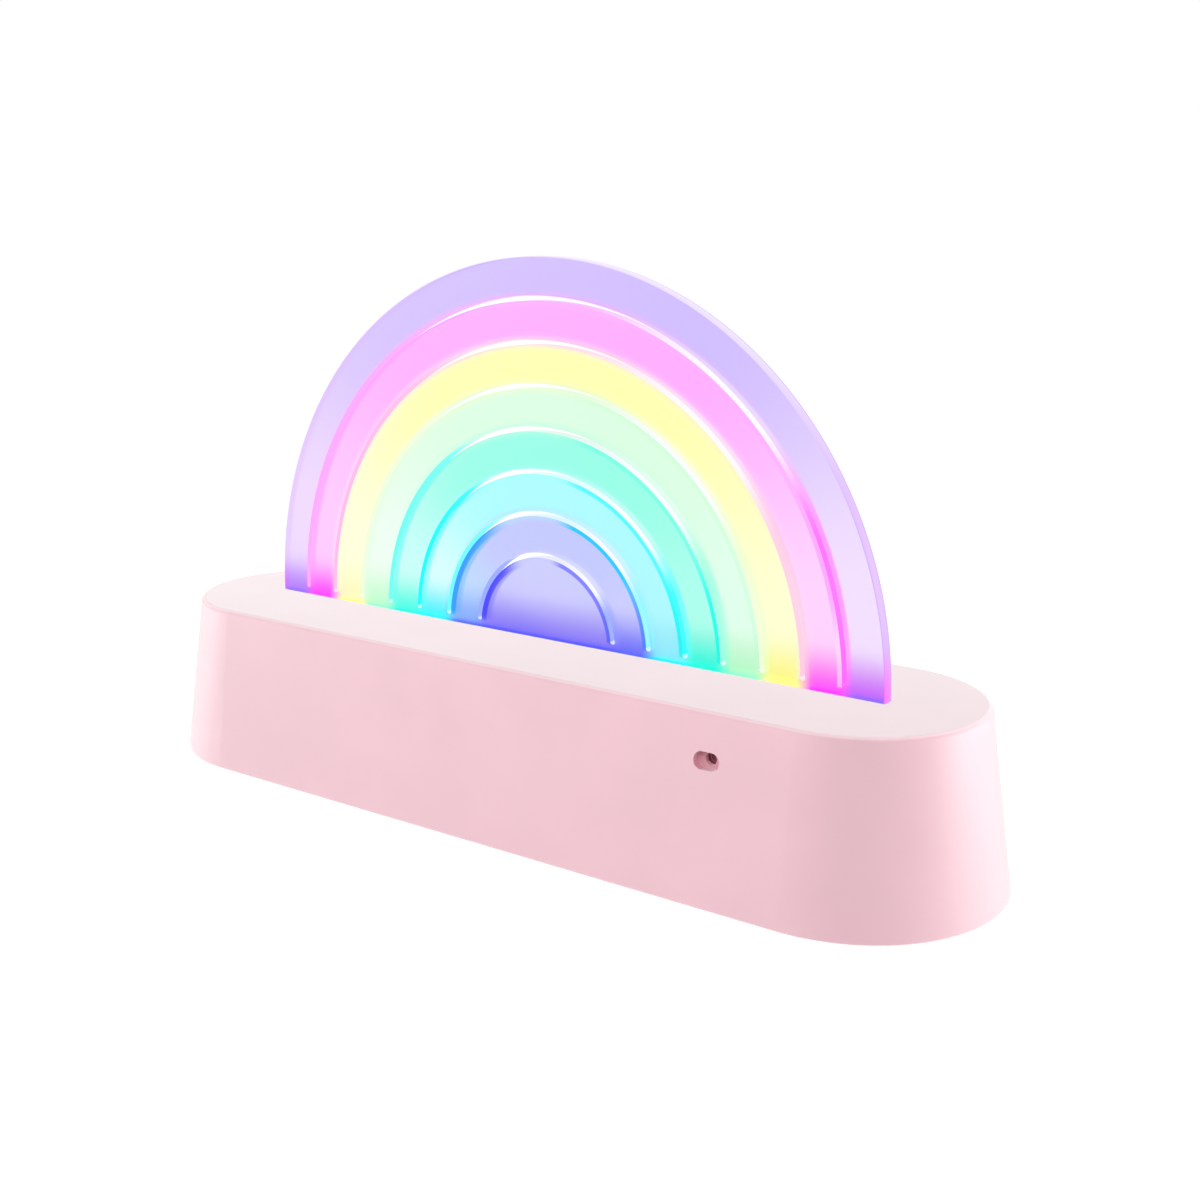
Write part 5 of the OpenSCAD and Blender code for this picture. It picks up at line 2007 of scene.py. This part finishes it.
@dataclass
class ControlBoard:
    """The control board with its parts, the port, the switch and its knob."""

    workshop: Workshop
    z_board: float = 11.87
    board_t: float = 1.6
    chip_y: float = 6.0
    chip_half: float = 2.01
    can_low_x: float = 16.0
    can_step: float = 8.0
    can_foot_h: float = 1.02
    can_mark_x: float = -1.5
    can_mark_h: float = 7.3
    resistor_low_x: float = 31.5
    resistor_step: float = 3.0
    resistor_half: float = 0.66
    port: Point = (27.0, 29.9, 13.5)
    tongue: Point = (3.25, 3.0, 0.38)
    boss_x: tuple[float, float] = (13.5, 59.5)
    boss_y: tuple[float, float] = (-11.5, 23.4745)
    screw: Screw = Screw(head_d=3.6, head_h=1.2, shank_d=1.9, length=6.0, pitch=0.8)

    def legs(self, recipe: Recipe) -> Signal:
        """Finds the chip's legs beside its body."""
        return abs(recipe.y - self.chip_y) > self.chip_half

    def can_metal(self, recipe: Recipe) -> Signal:
        """Finds the cans, but for their plastic feet and the dark mark of their minus side.

        Args:
            recipe: The cans' material.

        Returns:
            1 on the metal.
        """
        local = (recipe.x - self.can_low_x) % self.can_step - self.can_step / 2
        foot = recipe.z < self.z_board + self.can_foot_h
        mark = (local < self.can_mark_x) * (recipe.z > self.z_board + self.can_mark_h)
        return (1 - foot) * (1 - mark)

    def caps(self, recipe: Recipe) -> Signal:
        """Finds the tinned ends of the chip resistors."""
        local = (recipe.x - self.resistor_low_x) % self.resistor_step - self.resistor_step / 2
        return abs(local) > self.resistor_half

    def shell(self, recipe: Recipe) -> Signal:
        """Finds the port's steel shell, as opposed to its plastic tongue.

        Args:
            recipe: The port's material.

        Returns:
            1 on the steel.
        """
        x, y, z = self.port
        half_l, deep, half_h = self.tongue
        within = (abs(recipe.x - x) < half_l) * (abs(recipe.z - z) < half_h)
        return 1 - within * (recipe.y > y - deep)

    def build(self) -> None:
        """Dresses the board and its parts, and puts in the screws."""
        tin = rgb(205, 203, 198)
        mask = BoardLaminate("control_board_mask", rgb(40, 104, 66), rgb(70, 140, 92))
        epoxy = TwoPart("chip_epoxy", rgb(34, 34, 37), tin, body_rough=0.6)
        sleeve = TwoPart("can_sleeve", rgb(30, 30, 33), rgb(205, 207, 210))
        resistor = TwoPart("resistor_body", rgb(28, 28, 31), tin, body_rough=0.4)
        nylon = MouldedPlastic("header_nylon", rgb(240, 234, 218), roughness=0.4, grain=0.3, depth=0.008)
        port = TwoPart("port_shell", rgb(36, 36, 38), rgb(202, 202, 206), body_rough=0.45, metal_rough=0.26)
        acetal = MouldedPlastic("knob_acetal", rgb(52, 52, 55), roughness=0.4, grain=0.25, depth=0.01)
        dress("control_board", mask.make())
        dress("control_chip", epoxy.make(self.legs))
        dress("capacitors", sleeve.make(self.can_metal))
        dress("chip_resistors", resistor.make(self.caps))
        dress("wire_headers", nylon.make())
        dress("usb_socket", port.make(self.shell))
        dress("switch_body", PlatedMetal("switch_frame", rgb(198, 198, 202)).make())
        dress("switch_knob", acetal.make())
        places = [(x, y, self.z_board - self.board_t) for x in self.boss_x for y in self.boss_y]
        self.workshop.fasten("control_board_screws", self.screw, places, Body.ROOT)


@dataclass
class SoundPickup:
    """The microphone in its rubber boot behind the round hole."""

    front_y: float = -27.9037
    felt_t: float = 1.0

    def build(self) -> None:
        """Dresses the capsule and its boot in a pink that is painted bounce light from the shell."""
        # Painted light: the felt and the dark boot are painted a light dusky pink, for pink light bounced
        # into the hole.
        capsule = TwoPart("capsule_felt", rgb(190, 118, 132), rgb(200, 202, 205), body_rough=0.9)
        dress("microphone", capsule.make(lambda recipe: recipe.y > self.front_y + self.felt_t))
        dress("mic_boot", Rubber("boot_silicone", rgb(160, 98, 110), dust=0.06).make())


@dataclass(frozen=True)
class Lead:
    """One lead: its CAD node, the name of its insulation, its colour and its route in millimetres."""

    node: str
    slot: str
    colour: Colour
    route: list[Point]


LEADS = [
    Lead("battery_lead_red", "red_insulation", rgb(196, 30, 34), [
        (-7.9, -15.2, 22.5), (-7.9, -15.2, 23.5), (-5, -14, 25.3), (3, -10, 25.7), (12, -6, 24.9),
        (19.5, -6, 23.4), (22.5, -6, 20.07), (22.5, -6, 17.87),
    ]),
    Lead("battery_lead_black", "black_insulation", rgb(32, 32, 34), [
        (-64.1, 15.2, 22.5), (-64.1, 15.2, 23.5), (-58, 14, 25.3), (-44, 11, 24.9), (-28, 9, 24.9),
        (-12, 8, 25.3), (4, 5, 25.3), (18, -1, 24.9), (25.5, -6, 20.07), (25.5, -6, 17.87),
    ]),
    Lead("led_lead", "white_insulation", rgb(224, 224, 220), [
        (36, 1, 29.7), (36, 1, 27.7), (36, -3, 24.9), (36, -8, 22.07), (36, -9, 20.07), (36, -9, 17.87),
    ]),
    Lead("mic_lead", "grey_insulation", rgb(158, 158, 164), [
        (70.6, -25.2037, 35.5), (70.6, -22.2037, 35.5), (68, -19.6, 33), (62, -18.6, 29), (55, -17, 25),
        (50, -11, 21.57), (50, -10, 20.07), (50, -10, 17.87),
    ]),
]


@dataclass
class Leads:
    """The leads inside the base, each drawn along its route."""

    workshop: Workshop
    thick: float = 1.3
    steps: int = 10
    sides: int = 16

    def smooth(self, route: list[Point]) -> list[Point]:
        """Lays a smooth curve through a route's points.

        Args:
            route: The points.

        Returns:
            The curve's points, straight over its first and last stretch.
        """
        out = [route[0]]
        for i in range(1, len(route) - 2):
            p, q, r, s = (Vector(route[k]) for k in range(i - 1, i + 3))
            bend, twist = 2 * p - 5 * q + 4 * r - s, 3 * q - p - 3 * r + s
            for k in range(self.steps):
                t = k / self.steps
                out.append(tuple(0.5 * (2 * q + (r - p) * t + bend * t * t + twist * t ** 3)))
        return out + route[-2:]

    def build(self) -> None:
        """Draws every lead."""
        for lead in LEADS:
            sheath = CableSheath(lead.slot + "_sheath", lead.colour).make()
            path = self.smooth(lead.route)
            piece = self.workshop.draw(lead.node + "_drawn", [path], self.thick, self.sides, sheath)
            seat(piece, Body.ROOT, lead.slot, lead.node)


def main() -> None:
    """Builds the studio and every sub-assembly."""
    logging.basicConfig(level=logging.INFO, format="%(name)s: %(message)s")
    Studio().build()
    workshop = Workshop()
    for assembly in (
        Housing(workshop), BatteryDoor(workshop), RainbowPlate(), LightEngine(workshop),
        BatteryBay(workshop), ControlBoard(workshop), SoundPickup(), Leads(workshop),
    ):
        assembly.build()
        LOG.info("%s: built", type(assembly).__name__)


if __name__ == "__main__":
    main()
